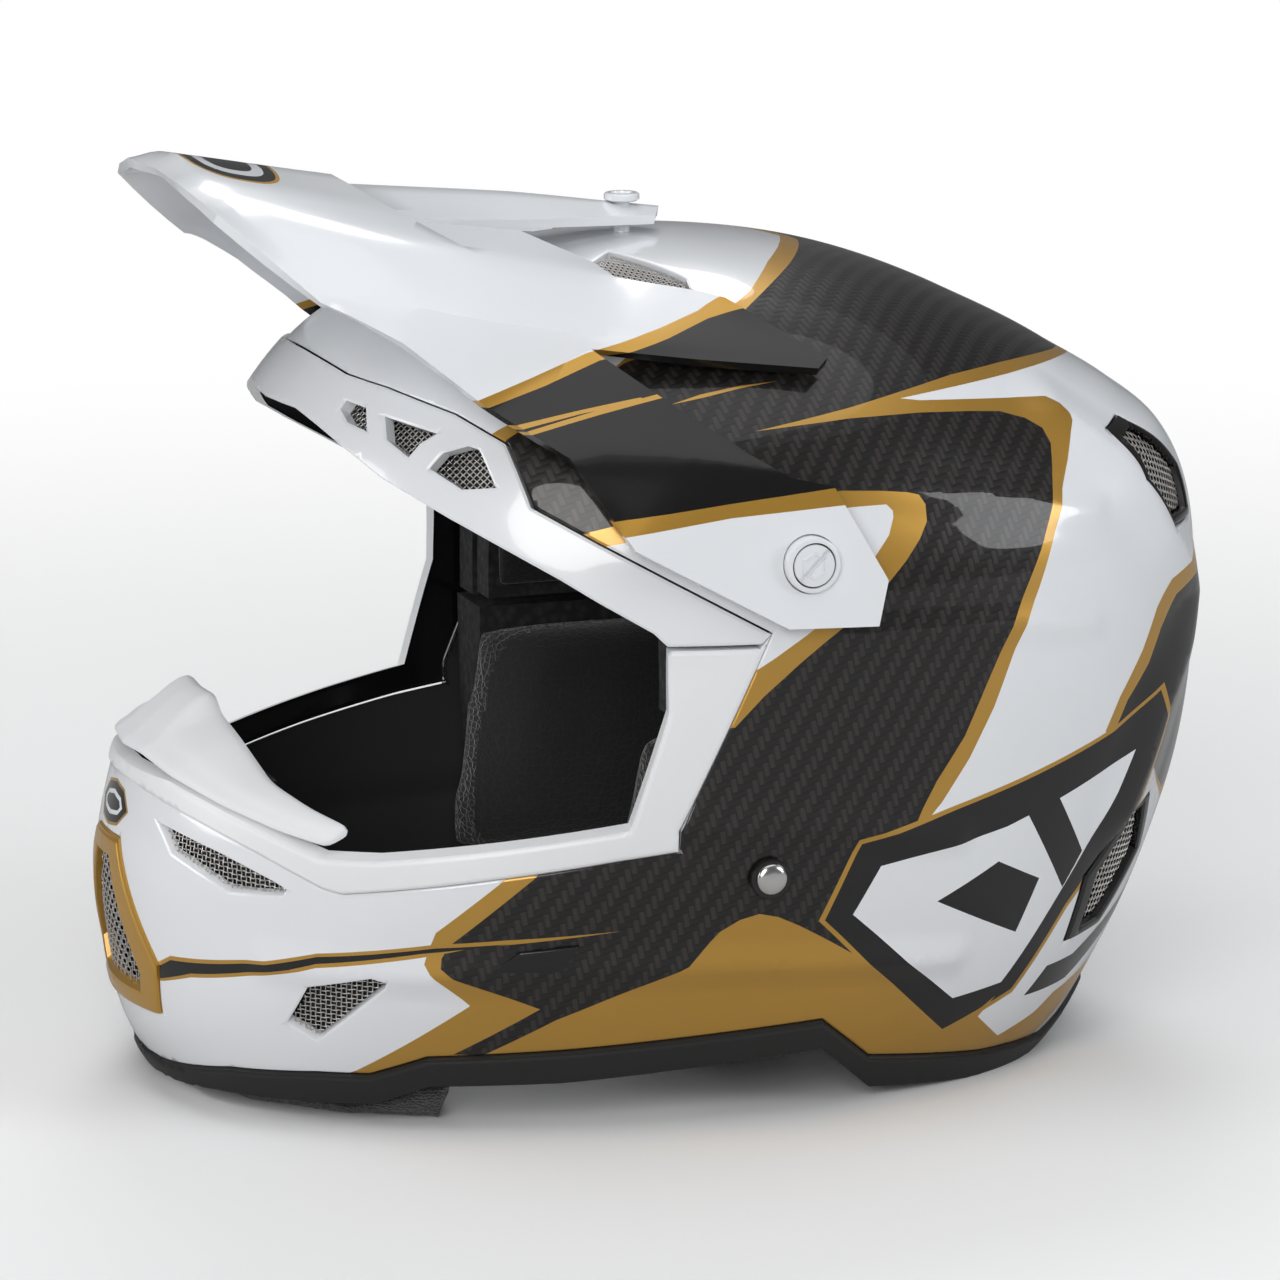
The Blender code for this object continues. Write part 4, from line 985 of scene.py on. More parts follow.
def wovenPaths(outline, depth, turn):
    # wires over and under each other inside an outline on the pattern sheet
    pitch = wireWork["pitch"]
    outline = [tuple(p) for p in outline]
    middle = np.mean(outline, axis=0)
    reachOut = max(math.hypot(p[0] - middle[0], p[1] - middle[1]) for p in outline) + pitch
    count = int(reachOut / pitch) + 1
    paths = []
    for way in (0, 1):
        angle = math.radians(turn + 90 * way)
        along = np.array([math.cos(angle), math.sin(angle)])
        across = np.array([-along[1], along[0]])
        t = np.arange(-count * 4, count * 4 + 1) * (pitch / 4)
        for k in range(-count, count + 1):
            line = middle + across * (k * pitch) + along * t[:, None]
            inHole = within(outline, *line.T)
            wave = np.sin((t / pitch + k) * math.pi) * wireWork["wave"] * (1 if way else -1)
            points = onShell(line[:, 0], line[:, 1], depth + wave)
            start = None
            for i, isIn in enumerate(list(inHole) + [False]):
                if isIn and start is None:
                    start = i
                elif not isIn and start is not None:
                    if i - start > 2:
                        paths.append(points[start:i])
                    start = None
    return paths


def makeMesh(name, outlines, depth, turn, side, node):
    paths = []
    for outline in outlines:
        paths += wovenPaths(outline, depth, turn)
    points, faces = tubeMesh(paths, wireWork["wire"], 4)
    if side < 0:  # a mirrored mesh is turned right side out again
        points = points * np.array([-1.0, 1.0, 1.0])
        faces = [f[::-1] for f in faces]
    made = objectFrom(name, placed(points), faces, [wireSteel])
    return standFor(made, "helmet", node)


for label, side in bothSides:
    browHoles = [fromSide(grown(vent, 1.6)) for vent in browVents]
    makeMesh(f"browMesh.{label}", browHoles, -5.0, 45, side, f"brow_mesh_{label}")
    for name, nodeName, turn in (("upperChin", "upper_chin", 4), ("lowerChin", "lower_chin", 2),
                                 ("crown", "crown", 15), ("rearUpper", "rear_upper", 30),
                                 ("rearLower", "rear_lower", 30)):
        view, outline = ventOutlines[name]
        inset = -3.9 if view == "rear" else wireWork["ventInset"]  # the rear vents have a frame
        hole = outlineLine(view, grown(outline, inset))[0]
        node = f"{nodeName}_vent_mesh_{label}"
        makeMesh(f"{name}Mesh.{label}", [hole], wireWork["depth"], turn, side, node)


def grilleWires():
    # the front mesh crosses the middle line, so it is woven on the front view
    pitch, wire, wave = (wireWork[k] * wireWork["front"] for k in ("pitch", "wire", "wave"))
    hole = grown(grilleHole, wireWork["ventInset"])
    paths = []
    for way in (0, 1):
        t = np.arange(-60, 61) * (pitch / 4)
        for k in range(-16, 17):
            u = k * pitch * np.ones_like(t) if way else t
            v = wireWork["frontMiddle"] + (t if way else k * pitch * np.ones_like(t))
            inHole = within(hole, u, v)
            if inHole.sum() < 3:
                continue
            flat = fromEnd(list(zip(u[inHole], v[inHole])), -1)
            swing = np.sin((t[inHole] / pitch + k) * math.pi) * wave * (1 if way else -1)
            paths.append(onShell(flat[:, 0], flat[:, 1], wireWork["depth"] + swing))
    return objectFrom("grilleMesh", *placedTube(paths, wire, 4), [wireSteel])


standFor(grilleWires(), "helmet", "grille_mesh")
print("woven meshes")


visorForm = {
    "wall": 3.0,
    "softBelow": 22, "softCrease": 0.45, "sharpCrease": 0.85,  # degrees, and how well a fold keeps its edge
    "screwHole": 8.7, "rounding": 1.0,
    "points": {
        "lipMid": (0, -153, 277), "lipSide": (30, -154, 276.5), "lipCorner": (58, -149.7, 271),
        "browMid": (0, -147, 281.5), "browSide": (30, -145, 278.5), "browCrease": (48, -142, 272),
        "topMid": (0, -118, 276.5), "topSide": (34, -115, 272), "topCrease": (58, -109.5, 264.5),
        "stepMid": (0, -99, 273.5), "stepSide": (34, -88, 266), "stepCrease": (64, -70.5, 255.5),
        "lowMid": (0, -97.5, 270.4), "lowSide": (33.5, -86.5, 263.2),
        "edge1": (80, -125, 247), "edge2": (84, -117.5, 243.5), "edge3": (92, -104, 236),
        "edge4": (97, -82, 218), "edge5": (112, -60, 203), "edge6": (122, -49.5, 185),
        "edge7": (125.5, -44.3, 177), "footFront": (131, 1, 152), "footRear": (131, 29, 151),
        "footHigh": (130.5, 32, 164.5), "armRear": (126, 16.5, 192.5), "arm4": (125, 3.5, 195.7),
        "arm3": (120, -7.5, 202.5), "arm2": (109.5, -27, 216), "arm1": (100, -37.5, 224),
        "arm0": (91, -46.5, 231), "groove": (122.5, -23.5, 199),
        "crease1": (80, -122, 249.5), "crease2": (86, -102.5, 246.3), "crease3": (90, -80, 241.3),
        "crease4": (90, -40, 233.3), "crease5": (92, -22, 232.5),
        "lobe1": (98.5, -15, 227.3), "lobe2": (103, 20, 223.5), "lobeTip": (100, 24, 226),
        "lobeTop3": (79, -0.5, 242), "lobeTop2": (74, -6.5, 243.5), "lobeTop1": (61, -29, 247),
        "lobeTop0": (50, -32, 250), "slotEnd": (36, -50.5, 258.5),
        "wingMid": (0, -42, 265.5), "wingTail": (0, 6, 258.5), "wingSide": (22, -44, 259.5),
        "wingTailSide": (9, 2, 257),
    },
    "faces": [
        "lipMid lipSide browSide browMid", "lipSide lipCorner browCrease browSide",
        "browMid browSide topSide topMid", "browSide browCrease topCrease topSide",
        "topMid topSide stepSide stepMid", "topSide topCrease stepCrease stepSide",
        "lipCorner edge1 crease1 browCrease", "browCrease crease1 crease2 topCrease",
        "topCrease crease2 crease3 stepCrease", "edge1 edge2 crease1", "crease1 edge2 edge3 crease2",
        "crease2 edge3 edge4 crease3", "crease3 edge4 arm0 crease4", "edge4 edge5 arm1 arm0",
        "edge5 groove arm2 arm1", "groove arm4 arm3 arm2", "edge5 edge6 edge7 groove",
        "edge7 footFront arm4 groove", "footFront footRear footHigh armRear arm4",
        "crease4 arm0 lobe1 crease5", "crease5 lobe1 lobe2 lobeTip", "crease5 lobeTip lobeTop3 lobeTop2",
        "crease4 crease5 lobeTop2 lobeTop1", "crease3 crease4 lobeTop1 stepCrease",
        "stepCrease lobeTop1 lobeTop0 slotEnd", "lowSide stepCrease slotEnd",
        "lowMid lowSide wingSide wingMid", "wingMid wingSide wingTailSide wingTail",
        "stepMid stepSide lowSide lowMid", "stepSide stepCrease lowSide",
    ],
    "mark": {"y": -132.0, "halfWide": 27.0, "halfLong": 13.0, "fullness": 2.6, "above": 0.2745},  # plain
    "paintFrom": -89,
    "black": (0.008, 0.0075, 0.0075),
    # lines on the side drawing: the black and the gold behind it lie between a low and a top one
    "blackTop": [(-90, 214), (-79, 217), (-62, 222), (-45, 228), (-34, 230), (-22, 233), (-8, 237),
                 (40, 246)],
    "blackLow": [(-90, 180), (-50, 185.4), (-16, 189), (16, 192), (60, 194)],
    "goldTop": [(-90, 216.5), (-82, 219), (-66, 224), (-48, 230), (-41, 231.5), (-23, 235.5),
                (-10, 239), (0, 243), (40, 250)],
    "goldLow": [(-90, 176), (-47, 181), (-15, 185), (20, 187), (60, 190)],
    "streaks": [
        ([(-90, 205), (-71, 211), (-54, 214.4), (-34, 217.6), (60, 217.6)],
         [(-90, 207), (-73, 212), (-55, 215.2), (-36, 218.4), (-34, 217.6), (60, 217.4)]),
        ([(-90, 203), (-69, 209.4), (-49, 214), (-28, 218.6), (60, 219)],
         [(-90, 204), (-70, 210.4), (-50, 215), (-30, 219.4), (-27, 218.8), (60, 218.6)]),
    ],
}


def rampAlong(tree, coordinate, points):  # a bent line: height as a straight run between points, in metres
    low, high = points[0][0], points[-1][0]
    share = tree.nodes.new("ShaderNodeMapRange")
    setInputs(share, {"From Min": (low + floorShift.y) * mm, "From Max": (high + floorShift.y) * mm})
    tree.links.new(coordinate, share.inputs["Value"])
    ramp = tree.nodes.new("ShaderNodeValToRGB")
    ramp.color_ramp.interpolation = "LINEAR"
    stops = ramp.color_ramp.elements
    while len(stops) < len(points):
        stops.new(0.5)
    for stop, (y, _) in zip(stops, points):
        stop.position = (y - low) / (high - low)
    for stop, (_, z) in zip(stops, points):  # the stops stay in order only once all are placed
        height = (z + floorShift.z) * mm
        stop.color = (height, height, height, 1)
    tree.links.new(share.outputs[0], ramp.inputs[0])
    return ramp.outputs[0]


def visorFinish():
    made, tree, shader = newMaterial("visorPaint")
    place = objectPlace(tree)
    split = tree.nodes.new("ShaderNodeSeparateXYZ")
    tree.links.new(place, split.inputs[0])
    y, z = split.outputs[1], split.outputs[2]

    def between(lowLine, topLine):
        under = addMath(tree, "LESS_THAN", z, rampAlong(tree, y, topLine))
        over = addMath(tree, "GREATER_THAN", z, rampAlong(tree, y, lowLine))
        front = addMath(tree, "GREATER_THAN", y, (visorForm["paintFrom"] + floorShift.y) * mm)
        return addProduct(tree, addProduct(tree, under, over), front)

    grain = useGroup(tree, grainGroup, place, Fine=900.0, Broad=16.0)
    tone = addMix(tree, grain.outputs["Tone"], darker(white, 0.95), white)
    goldShare = between(visorForm["goldLow"], visorForm["goldTop"])
    blackShare = between(visorForm["blackLow"], visorForm["blackTop"])
    colour = addMix(tree, goldShare, tone, gold)
    colour = addMix(tree, blackShare, colour, visorForm["black"])
    for lowLine, topLine in visorForm["streaks"]:
        colour = addMix(tree, addProduct(tree, between(lowLine, topLine), blackShare), colour, gold)
    mark = visorForm["mark"]
    offX = addMath(tree, "DIVIDE", split.outputs[0], mark["halfWide"] * mm)
    fromMiddle = addMath(tree, "SUBTRACT", y, (mark["y"] + floorShift.y) * mm)
    offY = addMath(tree, "DIVIDE", fromMiddle, mark["halfLong"] * mm)
    away = addMath(tree, "ADD", *(addMath(tree, "POWER", addMath(tree, "ABSOLUTE", off), mark["fullness"])
                                  for off in (offX, offY)))
    isTop = addMath(tree, "GREATER_THAN", z, mark["above"])
    for edge, tint in ((1.22, gold), (1.0, visorForm["black"]), (0.5, white), (0.2, visorForm["black"])):
        share = addProduct(tree, addMath(tree, "LESS_THAN", away, edge), isTop)
        colour = addMix(tree, share, colour, tint)
    tree.links.new(colour, shader.inputs["Base Color"])
    onlyGold = addMath(tree, "SUBTRACT", goldShare, blackShare, clamp=True)
    tree.links.new(addProduct(tree, onlyGold, 0.55), shader.inputs["Metallic"])
    tree.links.new(addMath(tree, "MULTIPLY_ADD", onlyGold, 0.1, 0.22), shader.inputs["Roughness"])
    setInputs(shader, {"Coat Weight": 0.35, "Coat Roughness": 0.04, "Specular IOR Level": 0.35})
    addBump(tree, shader, grain.outputs["Height"], 0.02, 0.0004)
    return made


def makeVisor():
    points = visorForm["points"]
    names = list(points)
    placedPoints = [points[n] for n in names]
    other = {}
    for n in names:
        x, y, z = points[n]
        other[n] = names.index(n) if x == 0 else len(placedPoints)
        if x:
            placedPoints.append((-x, y, z))
    faces = [tuple(names.index(n) for n in face.split()) for face in visorForm["faces"]]
    faces += [tuple(other[n] for n in reversed(face.split())) for face in visorForm["faces"]]
    made = objectFrom("visor", placed(placedPoints), faces, [visorFinish()])
    facesOut(made)
    work = bmesh.new()
    work.from_mesh(made.data)
    work.faces.ensure_lookup_table()
    if work.faces[0].normal.z < 0:
        bmesh.ops.reverse_faces(work, faces=work.faces)
    edgeCrease = work.edges.layers.float.new("crease_edge")
    pointCrease = work.verts.layers.float.new("crease_vert")
    for edge in work.edges:
        if edge.is_boundary:
            edge[edgeCrease] = 1.0
            for vert in edge.verts:
                vert[pointCrease] = 1.0
        else:
            isSoft = edge.calc_face_angle() < math.radians(visorForm["softBelow"])
            edge[edgeCrease] = visorForm["softCrease" if isSoft else "sharpCrease"]
    work.to_mesh(made.data)
    work.free()
    modify(made, "SUBSURF", levels=2, render_levels=2)
    modify(made, "SOLIDIFY", thickness=visorForm["wall"] * mm, offset=-1.0, use_even_offset=True,
           use_quality_normals=True)
    screwLine = placed((0, *pivot))
    for _, side in bothSides:
        bpy.ops.mesh.primitive_cylinder_add(
            vertices=48, radius=visorForm["screwHole"] * mm, depth=0.06,
            location=(side * 0.125, *screwLine[1:]), rotation=(0, math.pi / 2, 0))
        cutAway(made, bpy.context.object)
    modify(made, "BEVEL", limit_method="ANGLE", angle_limit=math.radians(28), segments=3,
           width=visorForm["rounding"] * mm, harden_normals=True)
    smoothUpTo(made, 35)
    return standFor(made, "visor", "visor")


makeVisor()
print("visor")


def lathePiece(name, profile, centre, side, looks, around=48, bands=()):
    # profile: distance along x and radius, from the inner end to the outer one. Side 0 turns it about z
    points = []
    for along, radius in profile:
        for i in range(around):
            a = 2 * math.pi * i / around
            u, v = centre[0] + radius * math.cos(a), centre[1] + radius * math.sin(a)
            points.append((side * along, u, v) if side else (u, v, along))
    picks = [1 if r in bands else 0 for r in range(len(profile) - 1) for _ in range(around)] + [0, 0]
    made = objectFrom(name, placed(points), ringFaces(len(profile), around), looks, picks)
    facesOut(made)
    smoothUpTo(made, 38)
    return made


def cutWith(made, outline, low, high):  # a straight cut along x
    points = [(x, u, v) for x in (low, high) for u, v in outline]
    tool = objectFrom("cutTool", placed(points), ringFaces(2, len(outline)), [])
    facesOut(tool)
    cutAway(made, tool)


sideScrew = {"radius": 8.3, "shank": 3.0, "face": 131.0, "seat": 118.6, "head": 4.2,
             "slotTurn": 45.0, "slotWidth": 1.6, "slotDepth": 0.5}


def hexRing(outer, inner, low, high, side):
    points = []
    for x, r in ((low, outer), (high, outer - 0.15), (high, inner + 0.15), (low, inner)):
        for i in range(6):
            a = math.radians(60 * i + 30)
            points.append((side * x, pivot[0] + r * math.cos(a), pivot[1] + r * math.sin(a)))
    faces = ringFaces(4, 6, True)
    made = objectFrom("screwHex", placed(points), faces, [whitePaint], smooth=np.zeros(len(faces), bool))
    facesOut(made)
    return made


def makeSideScrew(label, side):
    r, shank, top = sideScrew["radius"], sideScrew["shank"], sideScrew["face"]
    underHead, rim = top - sideScrew["head"], top + 0.45
    profile = [(sideScrew["seat"], shank), (underHead, shank), (underHead, r), (top - 0.2, r),
               (top + 0.25, r - 0.25), (rim, r - 0.8), (rim, r - 1.5), (top - 0.1, r - 1.6),
               (top - 0.1, r - 2.0), (rim, r - 2.1), (top + 0.7, r - 3.2), (top + 0.75, 1.5),
               (top + 0.75, 0.4)]
    head = lathePiece(f"sideScrew.{label}", profile, pivot, side, [whitePaint, insideGrey], 56, (7,))
    hexagon = hexRing(4.3, 3.3, top + 0.4, top + 1.15, side)
    tilt, reach, half = math.radians(sideScrew["slotTurn"]), 6, sideScrew["slotWidth"] / 2
    slot = [(pivot[0] + u * math.cos(tilt) - v * math.sin(tilt),
             pivot[1] + u * math.sin(tilt) + v * math.cos(tilt))
            for u, v in ((-reach, -half), (reach, -half), (reach, half), (-reach, half))]
    ends = sorted((side * (top - sideScrew["slotDepth"]), side * (top + 8)))
    for piece in (head, hexagon):
        cutWith(piece, slot, *ends)
    selectOnly(head, hexagon)
    bpy.ops.object.join()
    smoothUpTo(head, 38)
    standFor(head, f"side_screw_{label}", f"side_screw_{label}")


for label, side in bothSides:
    makeSideScrew(label, side)

crownZ = midZ + float(reachAt(math.pi / 2))
centreProfile = [(crownZ - 5.4, 2.5), (260.6, 2.5), (260.6, 4.6), (261.2, 5.5), (262.6, 5.5), (263.2, 4.9),
                 (263.2, 3.4), (262.3, 3.2), (262.3, 0.3)]
standFor(lathePiece("centreScrew", centreProfile, (0.0, -6.0), 0, [whitePaint], 40),
         "centre_screw", "centre_screw")


def skinOver(y, z, fullness=2.5):  # how far out the shell lies at a place on the side drawing
    reach = float(reachAt(math.atan2(z - midZ, y - midY)))
    share = math.hypot(y - midY, z - midZ) / reach
    return halfWidth * (1 - share ** fullness) ** (1 / fullness)


rivetSkin = skinOver(*rivetPlace)
rivetForm = {  # beyond the shell's skin, and radius
    "head": [(2.2, 2.0), (2.2, 4.8), (2.7, 4.75), (3.3, 4.3), (3.7, 3.2), (3.85, 1.6), (3.9, 0.2)],
    "washer": [(0.9, 2.5), (0.9, 6.3), (1.3, 6.4), (1.9, 6.1), (2.1, 5.5), (1.75, 2.5)],
    "shankFrom": (90.2, 2.0),
}
rivetParts = (("strapRivet", "strap_rivet", "head", [rivetForm["shankFrom"]], platedSteel),
              ("rivetWasher", "rivet_washer", "washer", [], blackPaint))
for label, side in bothSides:
    for name, nodeName, part, start, look in rivetParts:
        profile = start + [(rivetSkin + out, radius) for out, radius in rivetForm[part]]
        standFor(lathePiece(f"{name}.{label}", profile, rivetPlace, side, [look], 40),
                 "helmet", f"{nodeName}_{label}")
print("screws and rivets")


strapForm = {"width": 24.0, "thick": 2.2, "run": 23.5, "bend": 9.0, "middle": 88.7, "aboveRivet": 12,
             "ringX": 34.0, "ringHold": 4.0, "tail": -12.0, "sag": 4.0}
ringForm = {"wire": 1.6, "apart": 1.8, "half": 14.0, "deep": 4}
tabForm = {"x": 75.9, "fold": 0.42, "width": 14.0, "thick": 0.6, "rise": 0.5}


def webBand(name, route, middleY, width, thick, looks, side):
    # a woven band along a route of x, z points, the width running along y, with rounded selvedges
    route = np.array(route, float)
    ahead = np.gradient(route, axis=0)
    ahead /= np.linalg.norm(ahead, axis=1)[:, None]
    across = np.stack([-ahead[:, 1], ahead[:, 0]], -1)
    half, t = width / 2, thick / 2
    quarter = [(half, 0), (half - 0.5, t * 0.85), (half - 1.4, t), (half * 0.4, t * 1.02)]
    section = [(-u, v) for u, v in quarter] + quarter[:0:-1]
    section += [(-u, -v) for u, v in section]
    run = np.concatenate([[0], np.cumsum(np.hypot(*np.diff(route, axis=0).T))])
    points, cloth = [], []
    for here, over, length in zip(route, across, run):
        for u, v in section:
            points.append((side * (here[0] + over[0] * v), middleY + u, here[1] + over[1] * v))
            cloth.append((u * mm, length * mm))
    faces = ringFaces(len(route), len(section))
    made = objectFrom(name, placed(points), faces, looks, cloth=np.array(cloth))
    facesOut(made)
    smoothUpTo(made, 60)
    return made


def arc(centre, radius, start, step, count):  # degrees; points from start + step
    turns = [math.radians(start + step * k) for k in range(count)]
    return [(centre[0] + radius * math.cos(a), centre[1] + radius * math.sin(a)) for a in turns]


def strapRoute(hasRings):
    out, run, bend = strapForm["middle"], strapForm["run"], strapForm["bend"]
    top = rivetPlace[1] + strapForm["aboveRivet"]
    route = [(out, top - k * (top - run - bend) / 12) for k in range(13)]
    route += arc((out - bend, run + bend), bend, -7.5, -7.5, 12)
    start = route[-1][0]
    if hasRings:
        radius = strapForm["ringHold"] + strapForm["thick"] / 2
        route += [(start + (strapForm["ringX"] - start) * k / 8, run) for k in range(1, 8)]
        return route + arc((strapForm["ringX"], run - radius), radius, 90, 13, 25)
    for k in range(1, 17):
        t = k / 16
        ease = t * t * (3 - 2 * t)
        route.append((start + (strapForm["tail"] - start) * t, run - strapForm["sag"] * min(1, ease * 1.4)))
    return route


for label, side in bothSides:
    band = webBand(f"chinStrap.{label}", strapRoute(side > 0), rivetPlace[0], strapForm["width"],
                   strapForm["thick"], [blackWeb], side)
    standFor(band, "helmet", f"chin_strap_{label}")

ringZ = strapForm["run"] - strapForm["ringHold"] - strapForm["thick"] / 2
for number, shift in ((1, ringForm["apart"]), (2, -ringForm["apart"])):
    half, y = ringForm["half"], rivetPlace[0]
    path = [(y - half + 2 * half * k / 16, ringZ) for k in range(17)]
    path += arc((y, ringZ - ringForm["deep"]), half, -5, -5, 35)
    bar = [(strapForm["ringX"] + shift, u, v) for u, v in path]
    ring = objectFrom(f"dRing.{number}", *placedTube([bar], ringForm["wire"], 14, True), [platedSteel])
    facesOut(ring)
    standFor(ring, "d_rings", f"d_ring_{number}")

for label, side in bothSides:
    low, high = (drawnFrom(corner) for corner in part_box(f"release_tab_{label}"))
    x, fold, foot = tabForm["x"], tabForm["fold"], low[2] + tabForm["rise"]
    runs = [(high[2] - foot) * k / 6 for k in range(7)]
    route = [(x + fold, high[2] - run) for run in runs]
    route += arc((x, foot), fold, -30, -30, 5)
    route += [(x - fold, foot + run) for run in runs]
    tab = webBand(f"releaseTab.{label}", route, (low[1] + high[1]) / 2, tabForm["width"],
                  tabForm["thick"], [redTape], side)
    standFor(tab, f"cheek_pad_{label}", f"release_tab_{label}")
print("straps, rings and tabs")


guardForm = {
    "rows": [(0, -163, 101, -137, 111), (16, -161, 101, -136, 111), (34, -157, 98, -134, 106),
             (54, -146, 92.5, -130, 96), (70, -133, 87.5, -122, 90.5), (82, -121, 84.5, -113.5, 86.5)],
    "lift": 3.8, "peak": 4.5, "crown": 2.0,
}


def makeNoseGuard():
    rows = np.array(guardForm["rows"], float)
    stations = np.concatenate([np.linspace(-82, -24, 17), np.linspace(-22, 22, 23), np.linspace(24, 82, 17)])
    points = []
    shares = [0.0, 0.1, 0.22, 0.3, 0.5, 0.72, 0.84, 1.0]
    for x in stations:
        frontY, frontZ, backY, backZ = (np.interp(abs(x), rows[:, 0], rows[:, k]) for k in (1, 2, 3, 4))
        rise = np.clip((20 - abs(x)) / 7, 0, 1)
        rise = guardForm["peak"] * rise * rise * (3 - 2 * rise)
        points.append((x, frontY - 3.8, frontZ - 0.4))
        for t in shares:
            swell = guardForm["crown"] * np.clip((t - 0.2) / 0.12, 0, 1)
            swell += rise * np.clip((t - 0.3) / 0.45, 0, 1)
            swell += guardForm["lift"] - 1.2 - (1.0 if t in (0.0, 1.0) else 0.0)
            points.append((x, frontY + (backY - frontY) * t - 4, frontZ + (backZ - frontZ) * t + swell))
        points.append((x, backY - 4.2, backZ + 0.8))
        points.append((x, (frontY + backY) / 2 - 4, (frontZ + backZ) / 2 + 0.8))
    made = objectFrom("noseGuard", placed(points), ringFaces(len(stations), len(shares) + 3), [guardRubber])
    facesOut(made)
    modify(made, "SUBSURF", levels=1, render_levels=1)
    smoothUpTo(made, 50)
    standFor(made, "helmet", "nose_guard")


makeNoseGuard()
print("nose guard")


clothFrames = 20
clothSettings = {"use_pressure": True, "vertex_group_mass": "held", "quality": 6, "mass": 0.2,
                 "tension_stiffness": 12, "compression_stiffness": 12}
pads = {  # metres
    "cheekPad": {"looks": [liningCloth, airMesh], "voxel": 0.0042, "inset": 0.0012, "pressure": 5.0,
                 "cap": 0.006, "fill": 0.8, "soften": 14, "clear": 1.5},
    "comfortLiner": {"looks": [liningCloth, airMesh], "voxel": 0.005, "inset": 0.0008, "pressure": 4.0,
                     "cap": 0.004, "fill": 0.6, "soften": 0},
    "neckRoll": {"looks": [airMesh, liningCloth], "voxel": 0.0045, "inset": 0.001, "pressure": 4.0,
                 "cap": 0.005, "fill": 0.8, "soften": 6},
    "chinPad": {"looks": [chinTextile], "voxel": 0.0042, "inset": 0.0008, "pressure": 3.0,
                "cap": 0.003, "fill": 0.7, "soften": 0, "clear": 0.6},
}


def readPoints(group, label):
    flat = np.zeros(len(group) * 3)
    group.foreach_get(label, flat)
    return flat.reshape(-1, 3)


def writePoints(mesh, points):
    mesh.vertices.foreach_set("co", points.ravel())
    mesh.update()


def blowUp(made, start, pressure, cap):  # fills the pad with air as cloth and caps how far it may swell
    cloth = made.modifiers.new("cloth", "CLOTH")
    settings = cloth.settings
    for label, value in clothSettings.items():
        setattr(settings, label, value)
    settings.uniform_pressure_force = pressure
    settings.effector_weights.gravity = 0.0
    cloth.collision_settings.use_self_collision = False
    cloth.point_cache.frame_start, cloth.point_cache.frame_end = 1, clothFrames
    for number in range(1, clothFrames + 1):
        bpy.context.scene.frame_set(number)
    blown = made.evaluated_get(bpy.context.evaluated_depsgraph_get())
    move = readPoints(blown.data.vertices, "co") - start
    length = np.linalg.norm(move, axis=1)[:, None] + 1e-12
    made.modifiers.remove(cloth)
    bpy.context.scene.frame_set(1)
    return start + move * np.minimum(1.0, cap / length)


def puffPad(name, node, body, form, held, pick=None, limits=None):
    # held says which drawn points a seam holds, and pick which look a face takes
    made = bpy.data.objects.new(name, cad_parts[node].data.copy())
    bpy.context.scene.collection.objects.link(made)
    made.data.materials.clear()
    for look in form["looks"]:
        made.data.materials.append(look)
    facesOut(made, 1e-5)
    modify(made, "REMESH", mode="VOXEL", voxel_size=form["voxel"])
    work = bmesh.new()
    work.from_mesh(made.data)
    for _ in range(form["soften"]):
        bmesh.ops.smooth_vert(work, verts=work.verts, factor=0.5, use_axis_x=True, use_axis_y=True,
                              use_axis_z=True)
    work.to_mesh(made.data)
    work.free()
    rest = readPoints(made.data.vertices, "co")
    final = start = rest - readPoints(made.data.vertices, "normal") * form["inset"]
    writePoints(made.data, start)
    group = made.vertex_groups.new(name="held")
    group.add(np.where(held(*drawnFrom(rest).T))[0].tolist(), 1.0, "REPLACE")
    final = blowUp(made, start, form["pressure"], form["cap"])
    if limits is not None:
        final = np.clip(final, *limits)
    writePoints(made.data, final)
    modify(made, "SUBSURF", levels=1, render_levels=1)
    if pick is not None:
        centres = drawnFrom(readPoints(made.data.polygons, "center"))
        made.data.polygons.foreach_set("material_index", pick(*centres.T).astype(np.int32))
    made.data.shade_smooth()
    standFor(made, body, node)
    print(name, len(made.data.polygons))


def padBox(node, grow):
    low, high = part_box(node)
    return np.array(low) - grow * mm, np.array(high) + grow * mm


def cheekSeam(x, y, z):
    line = np.abs((z - 62) - (y - 20) * 0.25) < 2.6
    return (np.abs(x) > 82) | line | (np.abs(y - 52) < 2.6)


def cheekLook(x, y, z):
    return ((np.abs(x) > 74) | (y > 50)) * 1


def linerSeam(x, y, z):
    around = np.abs(np.abs(x) - 34) < 2.8
    across = np.abs(y - 20) < 2.8
    return around | across | (z < 129) | ((y < -60) & (np.abs(z - 190) < 4))


for label, side in bothSides:
    low, high = padBox(f"cheek_pad_{label}", pads["cheekPad"]["clear"])
    outer = high if side > 0 else low  # the face against the block stays where it is
    outer[0] -= side * pads["cheekPad"]["clear"] * mm
    node = f"cheek_pad_{label}"
    puffPad(f"cheekPad.{label}", node, node, pads["cheekPad"], cheekSeam, cheekLook, (low, high))
puffPad("comfortLiner", "comfort_liner", "floating_liner", pads["comfortLiner"], linerSeam,
        lambda x, y, z: (np.abs(x) < 34) * 1)
puffPad("neckRoll", "neck_roll", "helmet", pads["neckRoll"],
        lambda x, y, z: (np.abs(x) < 2) | (np.abs(np.abs(x) - 60) < 3), lambda x, y, z: (z < 26) * 1)
low, high = padBox("chin_pad", pads["chinPad"]["clear"])
low[2] = 0.0
puffPad("chinPad", "chin_pad", "helmet", pads["chinPad"], lambda x, y, z: z > 1.5, None, (low, high))
print("pads")


stageForm = {"flat": 5.0, "bend": 3.0, "top": 9.0, "around": 48,  # metres
             "floorUntil": 0.22, "whiteFrom": 1.3}  # the floor fades into white over this distance


